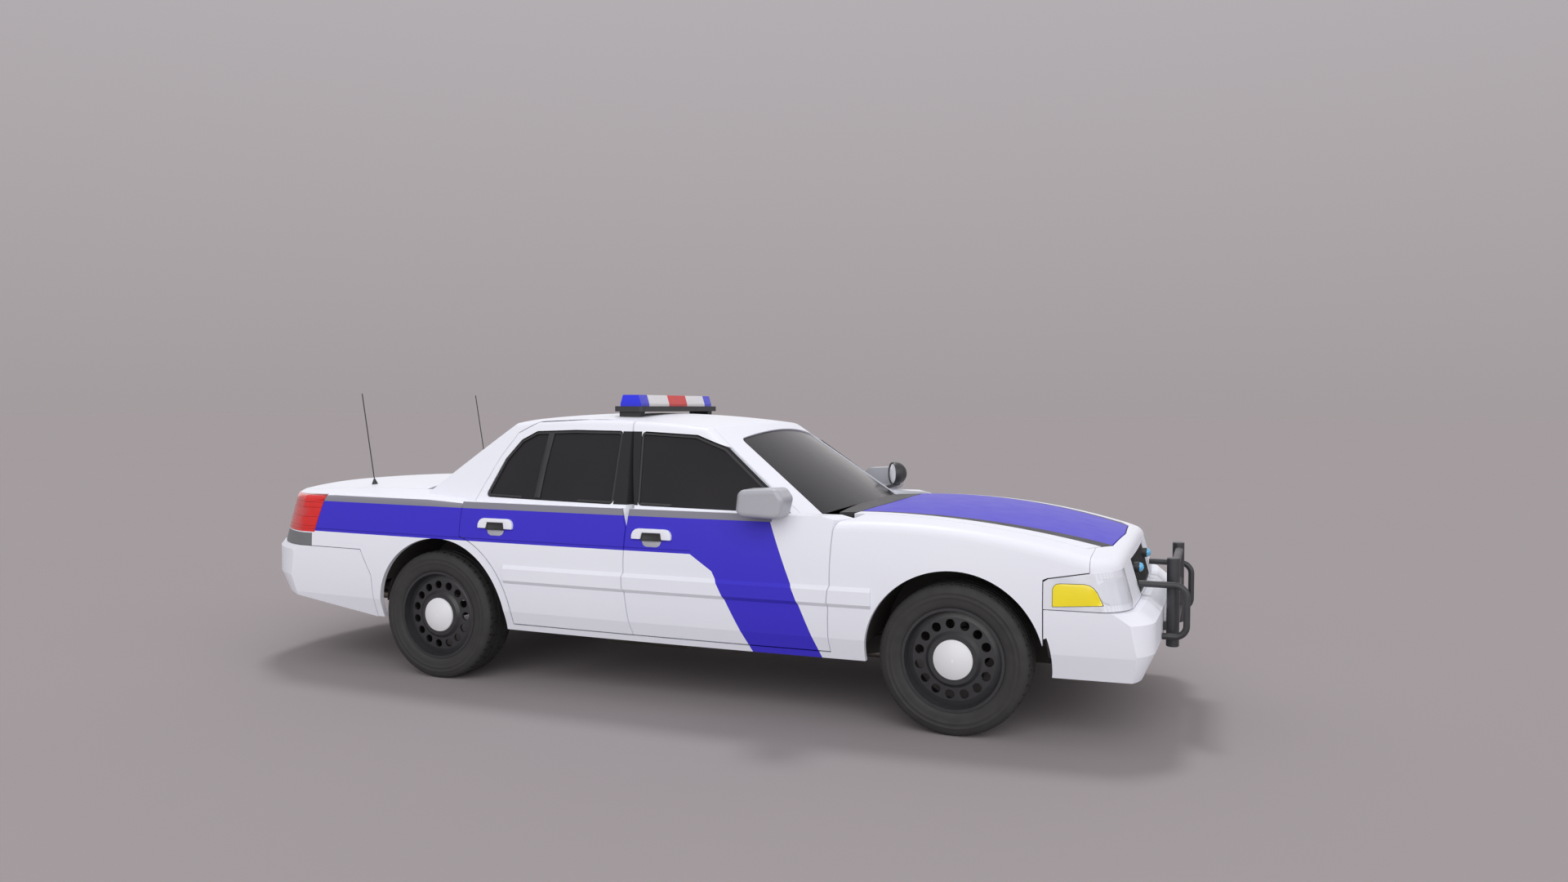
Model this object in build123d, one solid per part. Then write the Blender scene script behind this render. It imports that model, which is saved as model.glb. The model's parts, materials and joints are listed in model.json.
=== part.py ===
from build123d import *
import os
from math import cos, degrees, radians, sin, sqrt

# Four-door police patrol sedan, built panel by panel as an assembly of named solids.
# +X forward, +Y to the car's left, +Z up, millimetres; the ground is Z = 0 and the origin lies at
# the middle of the overall length. Lengths along the car are often given ahead of the front axle.

# Running gear
WHEELBASE = 2913.0
FRONT_AXLE_X = 1700.0
REAR_AXLE_X = FRONT_AXLE_X - WHEELBASE
WHEEL_Y = 800.0
TYRE_RADIUS = 355.0
TYRE_HALF_WIDTH = 112.0
TYRE_SHOULDER = 26.0
RIM_RADIUS = 243.5
RIM_WALL = 14.0
RIM_HALF_WIDTH = 102.0
DISC_THICKNESS = 14.0
VENT_COUNT = 15
VENT_RADIUS = 22.0
VENT_CIRCLE_RADIUS = 166.0
HUB_FACE = 88.0
HUB_BOSS_RADIUS = 78.0
CAP_RADIUS = 92.0
CAP_RISE = 26.0
STUB_RADIUS = 32.0
KINGPIN_Y = 735.0
KINGPIN_RADIUS = 14.0
RUNNING_CLEARANCE = 0.05
SEAT_CLEARANCE = 0.3
COLUMN_BORE = 30.0
FRONT_ARCH = (FRONT_AXLE_X, 355.0, 420.0)
REAR_ARCH = (FRONT_AXLE_X - 2868.0, 360.0, 432.0)

# Body side: a section at the widest station, swung about a far upright axis
SIDE_MID_X = 0.0
SIDE_PLAN_RADIUS = 34000.0
SILL_Z, SILL_Y = 315.0, 922.0
CREASE_Z, CREASE_Y = 420.0, 960.0
WIDEST_Z, HALF_WIDTH = 730.0, 985.0
BELT_Z = 1000.0
SIDE_TOP_Z, SIDE_TOP_Y = 1050.0, 934.0
SHOULDER_Z, SHOULDER_Y = 1140.0, 900.0
MOULDING_Z = (575.0, 592.0, 655.0, 674.0)
MOULDING_RISE = 13.0
MOULDING_REACH = (-2420.0, -378.0)

# Cabin above the belt
CABIN_MID_X = -90.0
CABIN_PLAN_RADIUS = 7000.0
CABIN_BELT_Y = 918.0
CABIN_EAVE_Z, CABIN_EAVE_Y = 1440.0, 668.0
CABIN_BULGE = 12.0
SCREEN_BASE_X, SCREEN_BASE_Z, SCREEN_SLOPE, SCREEN_RADIUS = 1175.0, 965.0, 1.55, 1620.0
BACK_BASE_X, BACK_BASE_Z, BACK_SLOPE, BACK_RADIUS = -1510.0, 1040.0, 1.4, 2000.0

# Crowned tops: three centre-line points (x, z) and the crown radius across the car
ROOF_LINE = ((440.0, 1436.0), (-240.0, 1483.0), (-940.0, 1452.0))
ROOF_CROWN = 6000.0
HOOD_LINE = ((1140.0, 1022.0), (1812.0, 998.0), (2356.0, 890.0))
HOOD_CROWN = 9000.0
DECK_LINE = ((-1500.0, 1078.0), (-2175.0, 1058.0), (-2620.0, 1020.0))
DECK_CROWN = 6000.0
NOSE_LEAN, NOSE_LEVEL = -0.27, 660.0
TAIL_LEAN, TAIL_LEVEL, TAIL_BOW = 0.35, 800.0, 67.0
FRONT_SOFT, REAR_SOFT, LEAST_SOFT = 60.0, 45.0, 12.0

# Bumper faces: (lean, level it turns at), seen from the side, from the foot up
FRONT_BUMPER_FACES = ((0.45, 430.0), (0.0, 500.0), (-1.2, 570.0))
FRONT_BUMPER_REACH = 106.0
FRONT_BUMPER_FOOT_Z, BUMPER_TOP_Z = 305.0, 622.0
REAR_BUMPER_FACES = ((-0.6, 520.0), (0.0, 600.0), (1.0, 672.0))
REAR_BUMPER_REACH, REAR_BUMPER_BOW = 75.0, 100.0
REAR_BUMPER_TOP_Z = 700.0
BUMPER_WALL = 42.0

# Panels, glass and gaps
SKIN = 28.0
DOOR_THICKNESS = 125.0
CABIN_WALL = 46.0
GLASS_INSET = 10.0
GLASS = 6.0
PANEL_GAP = 6.0
DOOR_SLANT = 0.5

# Side-view outlines, as (ahead of the front axle, height)
FRONT_DOOR = ((-627, 352), (-593, 660), (-598, 985), (-690, 1015), (-1150, 1350), (-1310, 1404),
              (-1500, 1430), (-1790, 1445), (-1688, 1000), (-1677, 352))
REAR_DOOR = ((-1685, 352), (-1694, 900), (-1719, 1100), (-1798, 1445), (-2130, 1446), (-2420, 1432),
             (-2540, 1370), (-2615, 1235), (-2700, 1015), (-2700, 352))
FRONT_WINDOW = ((-800, 1000), (-1215, 1312), (-1400, 1376), (-1728, 1392), (-1640, 1014))
REAR_WINDOW = ((-1785, 1014), (-1842, 1392), (-2140, 1394), (-2400, 1384), (-2490, 1335), (-2560, 1230),
               (-2622, 1024))
REAR_HINGE = (16.0, 1001.0)
SCREEN_OPENING = ((985.0, 720.0), (1398.0, 545.0))
BACK_OPENING = ((1085.0, 640.0), (1405.0, 540.0))
ARCH_FLANGE = 48.0
FOOT_RELIEF = 30.0

# Lids, lamps and grille
HOOD_OUTLINE = ((-455, 0), (-470, 300), (-545, 690), (90, 742), (575, 715), (668, 480), (690, 0))
LID_OUTLINE = ((-3225, 0), (-3215, 350), (-3150, 690), (-3700, 690), (-4000, 660), (-4500, 640), (-4500, 0))
LAMP_REAR = ((-4600, 775), (-4600, 980), (-3716, 1004), (-3780, 785))
LID_FOOT_Z = 775.0
LAMP_INNER_Y = 480.0
PLATE_Z = 868.0
PLATE_SPACING_Y = 177.8
PLATE_SPACING_Z = 120.6
PLATE_HOLE_RADIUS = 3.5
PLATE_FLOOR_X = -2550.0
PLATE_HALF = (165.0, 80.0)
PLATE_WALL = 20.0
HEADLAMP_FOOT_Z = BUMPER_TOP_Z + 4
HEADLAMP_SIDE = ((413, HEADLAMP_FOOT_Z), (413, 748), (433, 761), (612, 793), (900, 812),
                 (900, HEADLAMP_FOOT_Z))
HEADLAMP_INNER_Y = 690.0
GRILLE_TOP_Z, GRILLE_FOOT_Z = 806.0, 628.0
GRILLE_HALF_TOP, GRILLE_HALF_FOOT = 420.0, 385.0
GRILLE_ROWS_Z = (654, 686, 718, 750, 782)

# Roof bar, aerials, push bumper and spot lamp
LIGHT_BAR_AHEAD, LIGHT_BAR_HALF = -1937.0, 457.0
AERIAL_Y = 555.0
AERIAL_TIP_Z = 1594.0
PUSH_POST_AHEAD, PUSH_POST_Y, PUSH_POST_RADIUS = 940.0, 331.0, 30.0
PUSH_POST_Z = (385.0, 810.0)
PUSH_TUBE_RADIUS = 15.5
PUSH_LOOP_Y, PUSH_LOOP_Z, PUSH_LOOP_BEND = 410.0, (446.0, 690.0), 55.0
PUSH_BRACKET_Y = (310.0, 345.0)
PUSH_BRACKET_Z = (462.0, 500.0)
SPOT_AHEAD, SPOT_Y, SPOT_Z = -770.0, 850.0, 1105.0
SPOT_AIM = (-0.80, -0.60, 0.0)
SPOT_RADIUS, SPOT_RIM = 72.0, 16.0
SPOT_ARM, SPOT_ARM_RADIUS = ((-750, 865, 1040), (-830, 715, 1012)), 11.0
FRONT_LINER_Y = 470.0
REAR_LINER_Y = 520.0
LINER_TOP = 28.0


def ahead(distance):
    """Station along the car from a distance ahead of the front axle."""
    return FRONT_AXLE_X + distance


def mirrored(shape):
    """The same shape on the other side of the car."""
    return mirror(shape, about=Plane.XZ)


def pair(shape):
    """A left-hand shape together with its right-hand twin."""
    return Compound(list(shape.solids()) + list(mirrored(shape).solids()))


def box(x, y, z):
    """Block between pairs of limits."""
    size = (x[1] - x[0], y[1] - y[0], z[1] - z[0])
    return Pos(x[0], y[0], z[0]) * Box(*size, align=(Align.MIN, Align.MIN, Align.MIN))


def rod(start, end, radius):
    """Round bar between two points."""
    axis = Vector(*end) - Vector(*start)
    stand = (Align.CENTER, Align.CENTER, Align.MIN)
    return Plane(origin=start, z_dir=axis) * Cylinder(radius, axis.length, align=stand)


def side_prism(outline, y_from, y_to, slant=0.0, corner=0.0):
    """Side-view outline of (x, z) points carried outward; the slant moves it back as it goes."""
    points = [(x, y_from, z) for x, z in outline]
    if corner:
        wire = FilletPolyline(*points, radius=corner, close=True)
    else:
        wire = Polyline(*points, close=True)
    reach = (y_to - y_from) * sqrt(1 + slant * slant)
    return extrude(make_face(wire), amount=reach, dir=(-slant, 1, 0))


def plan_prism(outline, z_from, z_to, corner=0.0):
    """Plan outline of (x, y) points carried upward."""
    points = [(x, y, z_from) for x, y in outline]
    if corner:
        wire = FilletPolyline(*points, radius=corner, close=True)
    else:
        wire = Polyline(*points, close=True)
    return extrude(make_face(wire), amount=z_to - z_from, dir=(0, 0, 1))


def circle_through(a, b, c):
    """Centre and radius of the circle through three points of a plane."""
    d = 2 * (a[0] * (b[1] - c[1]) + b[0] * (c[1] - a[1]) + c[0] * (a[1] - b[1]))
    aa, bb, cc = (p[0] ** 2 + p[1] ** 2 for p in (a, b, c))
    x = (aa * (b[1] - c[1]) + bb * (c[1] - a[1]) + cc * (a[1] - b[1])) / d
    z = (aa * (c[0] - b[0]) + bb * (a[0] - c[0]) + cc * (b[0] - a[0])) / d
    return x, z, sqrt((a[0] - x) ** 2 + (a[1] - z) ** 2)


def swung(face, mid_x, axis_y, half_angle):
    """Section swung about an upright axis, both ways from the section's own station."""
    axis = Axis((mid_x, axis_y, 0), (0, 0, 1))
    return revolve(face.rotate(axis, -half_angle), axis=axis, revolution_arc=2 * half_angle)


def side_y(z):
    """Half-width of the body side at a height, at the widest station."""
    if z <= CREASE_Z:
        return SILL_Y + (CREASE_Y - SILL_Y) * (z - SILL_Z) / (CREASE_Z - SILL_Z)
    y, mid_z, r = circle_through((CREASE_Y, CREASE_Z), (HALF_WIDTH, WIDEST_Z),
                              (SIDE_TOP_Y, SIDE_TOP_Z))
    return y + sqrt(r * r - (z - mid_z) ** 2)


def tub(inset):
    """Everything between the two body sides, drawn in by an inset."""
    x = SIDE_MID_X
    low = (x, SILL_Y - 30 - inset, SILL_Z - 90)
    sill = (x, SILL_Y - inset, SILL_Z)
    crease = (x, CREASE_Y - inset, CREASE_Z)
    widest = (x, HALF_WIDTH - inset, WIDEST_Z)
    side_top = (x, SIDE_TOP_Y - inset, SIDE_TOP_Z)
    top = (x, SHOULDER_Y - inset, SHOULDER_Z)
    edges = [Line((x, -1300, low[2]), low), Line(low, sill), Line(sill, crease),
             ThreePointArc(crease, widest, side_top), Line(side_top, top), Line(top, (x, -1300, top[2])),
             Line((x, -1300, top[2]), (x, -1300, low[2]))]
    left = swung(make_face(edges), x, HALF_WIDTH - SIDE_PLAN_RADIUS, 6)
    return left & mirrored(left)


def moulding():
    """Raised rubbing strip along the left side, at the height of the bumper tops."""
    x = SIDE_MID_X
    z0, z1, z2, z3 = MOULDING_Z
    rise = MOULDING_RISE
    points = [(x, side_y(z0) - 8, z0), (x, side_y(z0) + 1, z0), (x, side_y(z1) + rise, z1),
              (x, side_y(z2) + rise, z2), (x, side_y(z3) + 1, z3), (x, side_y(z3) - 8, z3)]
    strip = swung(make_face(Polyline(*points, close=True)), x, HALF_WIDTH - SIDE_PLAN_RADIUS, 6)
    rear, front = (ahead(d) for d in MOULDING_REACH)
    return strip & box((rear, front), (0, 1100), (500, 800))


def crowned(line, crown, drop=0.0):
    """Everything under a crowned top whose centre line passes through three points."""
    x, z, r = circle_through(*line)
    top = z + r - drop
    edge = top - (crown - sqrt(crown ** 2 - 1200 ** 2))
    low = top - 900
    edges = [ThreePointArc((x, -1200, edge), (x, 0, top), (x, 1200, edge)),
             Line((x, 1200, edge), (x, 1200, low)), Line((x, 1200, low), (x, -1200, low)),
             Line((x, -1200, low), (x, -1200, edge))]
    axis = Axis((x, 0, z), (0, 1, 0))
    turn = degrees(2600 / r)
    return revolve(make_face(edges).rotate(axis, -turn), axis=axis, revolution_arc=2 * turn)


def nose(inset, lean=NOSE_LEAN, level=NOSE_LEVEL, reach=0.0):
    """Everything behind a leaning front face with round corners, moved forward by a reach."""
    z = 250.0
    shift = lean * (z - level) - inset + reach
    y = -inset
    edges = [ThreePointArc((2478 + shift, -700, z), (2494 + shift, 0, z), (2478 + shift, 700, z)),
             ThreePointArc((2478 + shift, 700, z), (2428 + shift, 846 + y, z), (2290 + shift, 925 + y, z)),
             Line((2290 + shift, 925 + y, z), (1800, 1150, z)), Line((1800, 1150, z), (-3200, 1150, z)),
             Line((-3200, 1150, z), (-3200, -1150, z)), Line((-3200, -1150, z), (1800, -1150, z)),
             Line((1800, -1150, z), (2290 + shift, -925 - y, z)),
             ThreePointArc((2290 + shift, -925 - y, z), (2428 + shift, -846 - y, z), (2478 + shift, -700, z))]
    return extrude(make_face(edges), amount=900 * sqrt(1 + lean ** 2), dir=(lean, 0, 1))


def tail(inset, lean=TAIL_LEAN, level=TAIL_LEVEL, reach=0.0, bow=TAIL_BOW):
    """Everything ahead of a leaning rear face with round corners, moved back by a reach."""
    z = 250.0
    shift = lean * (z - level) + inset - reach
    y = -inset
    edges = [ThreePointArc((-2545 + shift, -600, z), (-2545 - bow + shift, 0, z), (-2545 + shift, 600, z)),
             ThreePointArc((-2545 + shift, 600, z), (-2430 + shift, 748 + y, z), (-2190 + shift, 905 + y, z)),
             Line((-2190 + shift, 905 + y, z), (-1500, 1150, z)), Line((-1500, 1150, z), (3200, 1150, z)),
             Line((3200, 1150, z), (3200, -1150, z)), Line((3200, -1150, z), (-1500, -1150, z)),
             Line((-1500, -1150, z), (-2190 + shift, -905 - y, z)),
             ThreePointArc((-2190 + shift, -905 - y, z), (-2430 + shift, -748 - y, z),
                           (-2545 + shift, -600, z))]
    return extrude(make_face(edges), amount=900 * sqrt(1 + lean ** 2), dir=(lean, 0, 1))


def cabin_side(inset):
    """Everything between the two leaning cabin sides."""
    x = CABIN_MID_X
    lean = (CABIN_EAVE_Y - CABIN_BELT_Y) / (CABIN_EAVE_Z - BELT_Z)
    z0, z2 = 930.0, 1560.0
    y0, y2 = (CABIN_BELT_Y + lean * (z - BELT_Z) - inset for z in (z0, z2))
    middle = ((y0 + y2) / 2 + CABIN_BULGE, (z0 + z2) / 2)
    edges = [ThreePointArc((x, y0, z0), (x, *middle), (x, y2, z2)), Line((x, y2, z2), (x, -1300, z2)),
             Line((x, -1300, z2), (x, -1300, z0)), Line((x, -1300, z0), (x, y0, z0))]
    left = swung(make_face(edges), x, CABIN_BELT_Y - CABIN_PLAN_RADIUS, 16)
    return left & mirrored(left)


def behind_screen(inset):
    """Everything behind the bowed, raked windscreen surface."""
    z = 900.0
    x = SCREEN_BASE_X - SCREEN_SLOPE * (z - SCREEN_BASE_Z) - inset * sqrt(1 + SCREEN_SLOPE ** 2)
    back = SCREEN_RADIUS - sqrt(SCREEN_RADIUS ** 2 - 1200 ** 2)
    edges = [ThreePointArc((x - back, -1200, z), (x, 0, z), (x - back, 1200, z)),
             Line((x - back, 1200, z), (-3500, 1200, z)), Line((-3500, 1200, z), (-3500, -1200, z)),
             Line((-3500, -1200, z), (x - back, -1200, z))]
    return extrude(make_face(edges), amount=700 * sqrt(1 + SCREEN_SLOPE ** 2), dir=(-SCREEN_SLOPE, 0, 1))


def ahead_of_back(inset):
    """Everything ahead of the bowed, raked rear window surface."""
    z = 900.0
    x = BACK_BASE_X + BACK_SLOPE * (z - BACK_BASE_Z) + inset * sqrt(1 + BACK_SLOPE ** 2)
    back = BACK_RADIUS - sqrt(BACK_RADIUS ** 2 - 1200 ** 2)
    edges = [ThreePointArc((x + back, -1200, z), (x, 0, z), (x + back, 1200, z)),
             Line((x + back, 1200, z), (3500, 1200, z)), Line((3500, 1200, z), (3500, -1200, z)),
             Line((3500, -1200, z), (x + back, -1200, z))]
    return extrude(make_face(edges), amount=700 * sqrt(1 + BACK_SLOPE ** 2), dir=(BACK_SLOPE, 0, 1))


def rounded(block, radius, test):
    """Block with the edges rounded whose bounding boxes pass the test."""
    return fillet([edge for edge in block.edges() if test(edge.bounding_box())], radius)


def front_block(inset):
    """Front of the body ahead of the doors, solid, with rounded shoulders."""
    soft = max(FRONT_SOFT - inset, LEAST_SOFT)
    block = tub(inset) & crowned(HOOD_LINE, HOOD_CROWN, inset) & nose(inset)
    block = block & box((900, 2700), (-1100, 1100), (SILL_Z, 1200))
    return rounded(block, soft, lambda b: b.min.Z > 780 and b.max.X - b.min.X > 5)


def rear_block(inset):
    """Rear of the body behind the doors, solid, with rounded shoulders."""
    soft = max(REAR_SOFT - inset, LEAST_SOFT)
    block = tub(inset) & crowned(DECK_LINE, DECK_CROWN, inset) & tail(inset)
    block = block & box((-2800, -600), (-1100, 1100), (SILL_Z, 1200))
    return rounded(block, soft, lambda b: b.min.Z > 930 and b.max.X - b.min.X > 30)


def cabin_block(inset, soft):
    """Cabin above the belt, solid, with rounded pillars and roof rails."""
    block = cabin_side(inset) & behind_screen(inset) & ahead_of_back(inset)
    block = block & crowned(ROOF_LINE, ROOF_CROWN, inset)
    return rounded(block, soft, lambda b: b.max.Z > 1300)


def skin_y(z):
    """Half-width of the outer surface at a height, at mid car."""
    if z <= BELT_Z:
        return HALF_WIDTH
    return CABIN_BELT_Y + (CABIN_EAVE_Y - CABIN_BELT_Y) * (z - BELT_Z) / (CABIN_EAVE_Z - BELT_Z)


def door_prism(outline, grow):
    """Slanting door cut through the left side, its outline grown all round by a gap."""
    points = [(ahead(d) - DOOR_SLANT * (HALF_WIDTH - skin_y(z)), z) for d, z in outline]
    face = make_face(Polyline(*[(x, 0, z) for x, z in points], close=True))
    if grow:
        face = offset(face, amount=grow, kind=Kind.INTERSECTION)
    reach = 700 * sqrt(1 + DOOR_SLANT ** 2)
    start = face.moved(Location((DOOR_SLANT * 485, HALF_WIDTH - 485, 0)))
    return extrude(start, amount=reach, dir=(-DOOR_SLANT, 1, 0))


def window_prism(outline):
    """Window opening through the left side."""
    return side_prism([(ahead(d), z) for d, z in outline], 500, 1100, corner=22)


def arch(data, grow=0.0, y=(480, 1100)):
    """Round of a left wheel arch."""
    x, z, r = data
    return rod((x, y[0], z), (x, y[1], z), r + grow)


OUTER_TUB = tub(0)
OUTER_FRONT = front_block(0)
INNER_FRONT = front_block(SKIN)
OUTER_REAR = rear_block(0)
INNER_REAR = rear_block(SKIN)
OUTER_CABIN = cabin_block(0, 50)
INNER_CABIN = cabin_block(CABIN_WALL, 20)
LEFT = box((-3000, 3000), (0, 1300), (0, 1700))
STRIP = moulding()

FRONT_DOOR_CUT = door_prism(FRONT_DOOR, PANEL_GAP)
REAR_DOOR_CUT = door_prism(REAR_DOOR, PANEL_GAP)
DOOR_FOOT_CUT = arch(REAR_ARCH, ARCH_FLANGE, (300, 1100))
DOOR_FOOT_CUT = DOOR_FOOT_CUT + arch(REAR_ARCH, ARCH_FLANGE + FOOT_RELIEF, (300, 905))


def full_width(half_outline):
    """Plan outline of a panel from its left half, as stations ahead of the front axle."""
    left = [(ahead(d), y) for d, y in half_outline]
    right = [(x, -y) for x, y in reversed(left) if y]
    return left + right


def grown(prism_face, amount):
    """Flat outline grown all round."""
    return offset(prism_face, amount=amount, kind=Kind.INTERSECTION)


def lid_prism(half_outline, z_from, z_to, grow=0.0):
    """Upright prism over a lid's plan outline, grown by a gap."""
    face = make_face(Polyline(*[(x, y, z_from) for x, y in full_width(half_outline)], close=True))
    if grow:
        face = grown(face, grow)
    return extrude(face, amount=z_to - z_from, dir=(0, 0, 1))


def make_doors():
    """Door shells and their glass for the left side."""
    inner_tub = tub(DOOR_THICKNESS)
    side = (OUTER_TUB & LEFT) + STRIP
    low = (side - inner_tub) & box((-1500, 1400), (500, 1100), (300, BELT_Z))
    high = (OUTER_CABIN - cabin_side(CABIN_WALL)) & box((-1500, 1400), (500, 1100), (BELT_Z - 12, 1500))
    pane = (cabin_side(GLASS_INSET) - cabin_side(GLASS_INSET + GLASS)) & LEFT
    whole = low + high
    doors = {}
    table = (("front", FRONT_DOOR, FRONT_WINDOW), ("rear", REAR_DOOR, REAR_WINDOW))
    for name, outline, window in table:
        opening = window_prism(window)
        shell = (whole & door_prism(outline, 0)) - opening
        if name == "rear":
            shell = shell - DOOR_FOOT_CUT
        doors[name + "_door"] = shell
        doors[name + "_door_glass"] = pane & opening
    return doors


def make_front_panels():
    """Wings, bonnet, nose panel, headlamps and grille."""
    skin = OUTER_FRONT - INNER_FRONT
    hood_cut = lid_prism(HOOD_OUTLINE, 700, 1200, PANEL_GAP)
    lamp = side_prism([(ahead(d), z) for d, z in HEADLAMP_SIDE], HEADLAMP_INNER_Y, 1100)
    hood = skin & lid_prism(HOOD_OUTLINE, 780, 1200)
    rest = skin - hood_cut
    wing_outline = ((-640, 300), (408, 300), (408, 756), (430, 766), (610, 798), (610, 1100), (-640, 1100))
    wing = rest & side_prism([(ahead(d), z) for d, z in wing_outline], 300, 1100)
    wing = wing + (STRIP & box((1000, 1600), (800, 1100), (500, 800)))
    wing = wing - FRONT_DOOR_CUT - arch(FRONT_ARCH) - box((900, 2700), (0, 640), (0, 1200))
    nose_panel = rest & box((ahead(612), 2700), (-1100, 1100), (BUMPER_TOP_Z + 4, 1000))
    grille_hole = extrude(make_face(Polyline(*[(2300, y, z) for y, z in (
        (-GRILLE_HALF_TOP, GRILLE_TOP_Z), (GRILLE_HALF_TOP, GRILLE_TOP_Z),
        (GRILLE_HALF_FOOT, GRILLE_FOOT_Z), (-GRILLE_HALF_FOOT, GRILLE_FOOT_Z))], close=True)),
        amount=400, dir=(1, 0, 0))
    nose_panel = nose_panel - grille_hole - lamp - mirrored(lamp)
    lamp_block = (OUTER_FRONT - front_block(75)) & lamp
    frame = (front_block(9) - front_block(SKIN + 6)) & grille_hole
    bars = []
    for k in range(13):
        y = (k - 6) * 62.0
        bars.append(box((2300, 2600), (y - 26, y + 26), (GRILLE_FOOT_Z + 10, GRILLE_TOP_Z - 10)))
    back = (front_block(20) - front_block(SKIN + 6)) & grille_hole
    cut = Part() + bars
    ribs = frame - (cut & box((2200, 2700), (-GRILLE_HALF_FOOT + 12, GRILLE_HALF_FOOT - 12), (0, 1000)))
    across = (-GRILLE_HALF_TOP, GRILLE_HALF_TOP)
    rows = [box((2200, 2600), across, (z - 5, z + 5)) for z in GRILLE_ROWS_Z]
    grille = ribs + (back & (Part() + rows))
    return {"front_wings": pair(wing), "hood": hood, "nose_panel": nose_panel,
            "headlamps": pair(lamp_block), "grille": grille}


def make_upper_body():
    """Roof with its pillars, and the fixed screens at the front and the back."""
    shell = OUTER_CABIN - INNER_CABIN
    keep = cabin_side(CABIN_WALL + PANEL_GAP)
    both = FRONT_DOOR_CUT + REAR_DOOR_CUT
    door_cut = (both & box((-1500, 1400), (300, 1200), (900, 1500))) - keep
    low_cut = both & box((-1500, 1400), (300, 1200), (900, BELT_Z + PANEL_GAP))
    door_cut = door_cut + (low_cut - tub(DOOR_THICKNESS + 10))
    screen_cut = screen_outline(-SCREEN_SLOPE, 1, SCREEN_BASE_X, SCREEN_BASE_Z, SCREEN_OPENING)
    back_cut = screen_outline(BACK_SLOPE, -1, BACK_BASE_X, BACK_BASE_Z, BACK_OPENING)
    frame = shell - door_cut - mirrored(door_cut) - screen_cut - back_cut
    frame = frame - OUTER_FRONT - OUTER_REAR
    frame = frame & box((-1700, 1400), (-1100, 1100), (950, 1600))
    frame = frame.solids().sort_by(SortBy.VOLUME)[-1]
    pane = behind_screen(8) - behind_screen(8 + GLASS)
    windscreen = (pane & screen_cut & box((0, 1500), (-900, 900), (900, 1500))) - OUTER_FRONT
    pane = ahead_of_back(8) - ahead_of_back(8 + GLASS)
    back = pane & back_cut & box((-2000, 0), (-900, 900), (900, 1500))
    return {"roof_frame": frame, "screens": Compound([windscreen.solid(), back.solid()])}


def screen_outline(slope, facing, base_x, base_z, opening):
    """Raked prism through a screen, from its outline of (height, half-width) pairs."""
    points = []
    for z, y in opening:
        points.append((base_x + slope * (z - base_z), y, z))
    points = points + [(x, -y, z) for x, y, z in reversed(points)]
    face = make_face(FilletPolyline(*points, radius=45, close=True))
    norm = sqrt(1 + slope * slope)
    normal = Vector(facing / norm, 0, facing * -slope / norm)
    start = face.moved(Location(normal * -330))
    return extrude(start, amount=480, dir=normal)


def make_rear_panels():
    """Quarter panels, boot lid and tail lamps."""
    skin = OUTER_REAR - INNER_REAR
    lid_zone = box((-2800, -600), (-1100, 1100), (LID_FOOT_Z, 1200))
    lid_cut = lid_prism(LID_OUTLINE, LID_FOOT_Z - PANEL_GAP, 1300, PANEL_GAP)
    lamp_cut = side_prism([(ahead(d), z) for d, z in LAMP_REAR], LAMP_INNER_Y, 1100)
    lid = (skin & lid_prism(LID_OUTLINE, LID_FOOT_Z, 1300) & lid_zone) - grown_lamp(PANEL_GAP)
    lid = lid - mirrored(grown_lamp(PANEL_GAP))
    half_y, half_z = PLATE_HALF
    pan = box((-2700, PLATE_FLOOR_X + PLATE_WALL), (-half_y - PLATE_WALL, half_y + PLATE_WALL),
              (PLATE_Z - half_z - 10, PLATE_Z + half_z + PLATE_WALL))
    lid = lid + (pan & OUTER_REAR)
    lid = lid - box((-2800, PLATE_FLOOR_X), (-half_y, half_y), (PLATE_Z - half_z, PLATE_Z + half_z))
    for y in (-PLATE_SPACING_Y / 2, PLATE_SPACING_Y / 2):
        for z in (PLATE_Z - PLATE_SPACING_Z / 2, PLATE_Z + PLATE_SPACING_Z / 2):
            lid = lid - rod((-2700, y, z), (-2400, y, z), PLATE_HOLE_RADIUS)
    lamp = (OUTER_REAR - rear_block(60)) & lamp_cut
    outline = ((-4600, REAR_BUMPER_TOP_Z + 4), (-4600, 1200), (-2300, 1200), (-2300, 300),
               (-3345, 300), (-3345, 560), (-3420, REAR_BUMPER_TOP_Z + 4))
    quarter = (skin - lid_cut - lamp_cut) & side_prism([(ahead(d), z) for d, z in outline], 300, 1100)
    flange = arch(REAR_ARCH, ARCH_FLANGE - PANEL_GAP)
    quarter = quarter - (REAR_DOOR_CUT - flange) - arch(REAR_ARCH)
    quarter = quarter - box((-2800, -600), (0, 640), (0, 1200))
    quarter = quarter - box((ahead(-3150), -600), (0, 690), (0, 1200))
    quarter = quarter & box((-2800, ahead(-2385)), (0, 1100), (0, 1300))
    below_lid = (REAR_BUMPER_TOP_Z + 4, LID_FOOT_Z - PANEL_GAP)
    panel = (skin - lid_cut) & box((-2800, -2300), (-640, 640), below_lid)
    quarters = Compound(list(pair(quarter).solids()) + list(panel.solids()))
    return {"quarter_panels": quarters, "boot_lid": lid, "tail_lamps": pair(lamp)}


def grown_lamp(grow):
    """Tail lamp cut with a gap all round."""
    points = [(ahead(d), z) for d, z in LAMP_REAR]
    face = grown(make_face(Polyline(*[(x, 0, z) for x, z in points], close=True)), grow)
    return extrude(face.moved(Location((0, LAMP_INNER_Y - grow, 0))), amount=700, dir=(0, 1, 0))


def bumper_block(end, faces, reach, inset):
    """Solid bumper between the body sides, behind or ahead of its leaning faces."""
    block = tub(inset)
    for lean, level in faces:
        block = block & end(inset, lean, level, reach)
    return block


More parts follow.
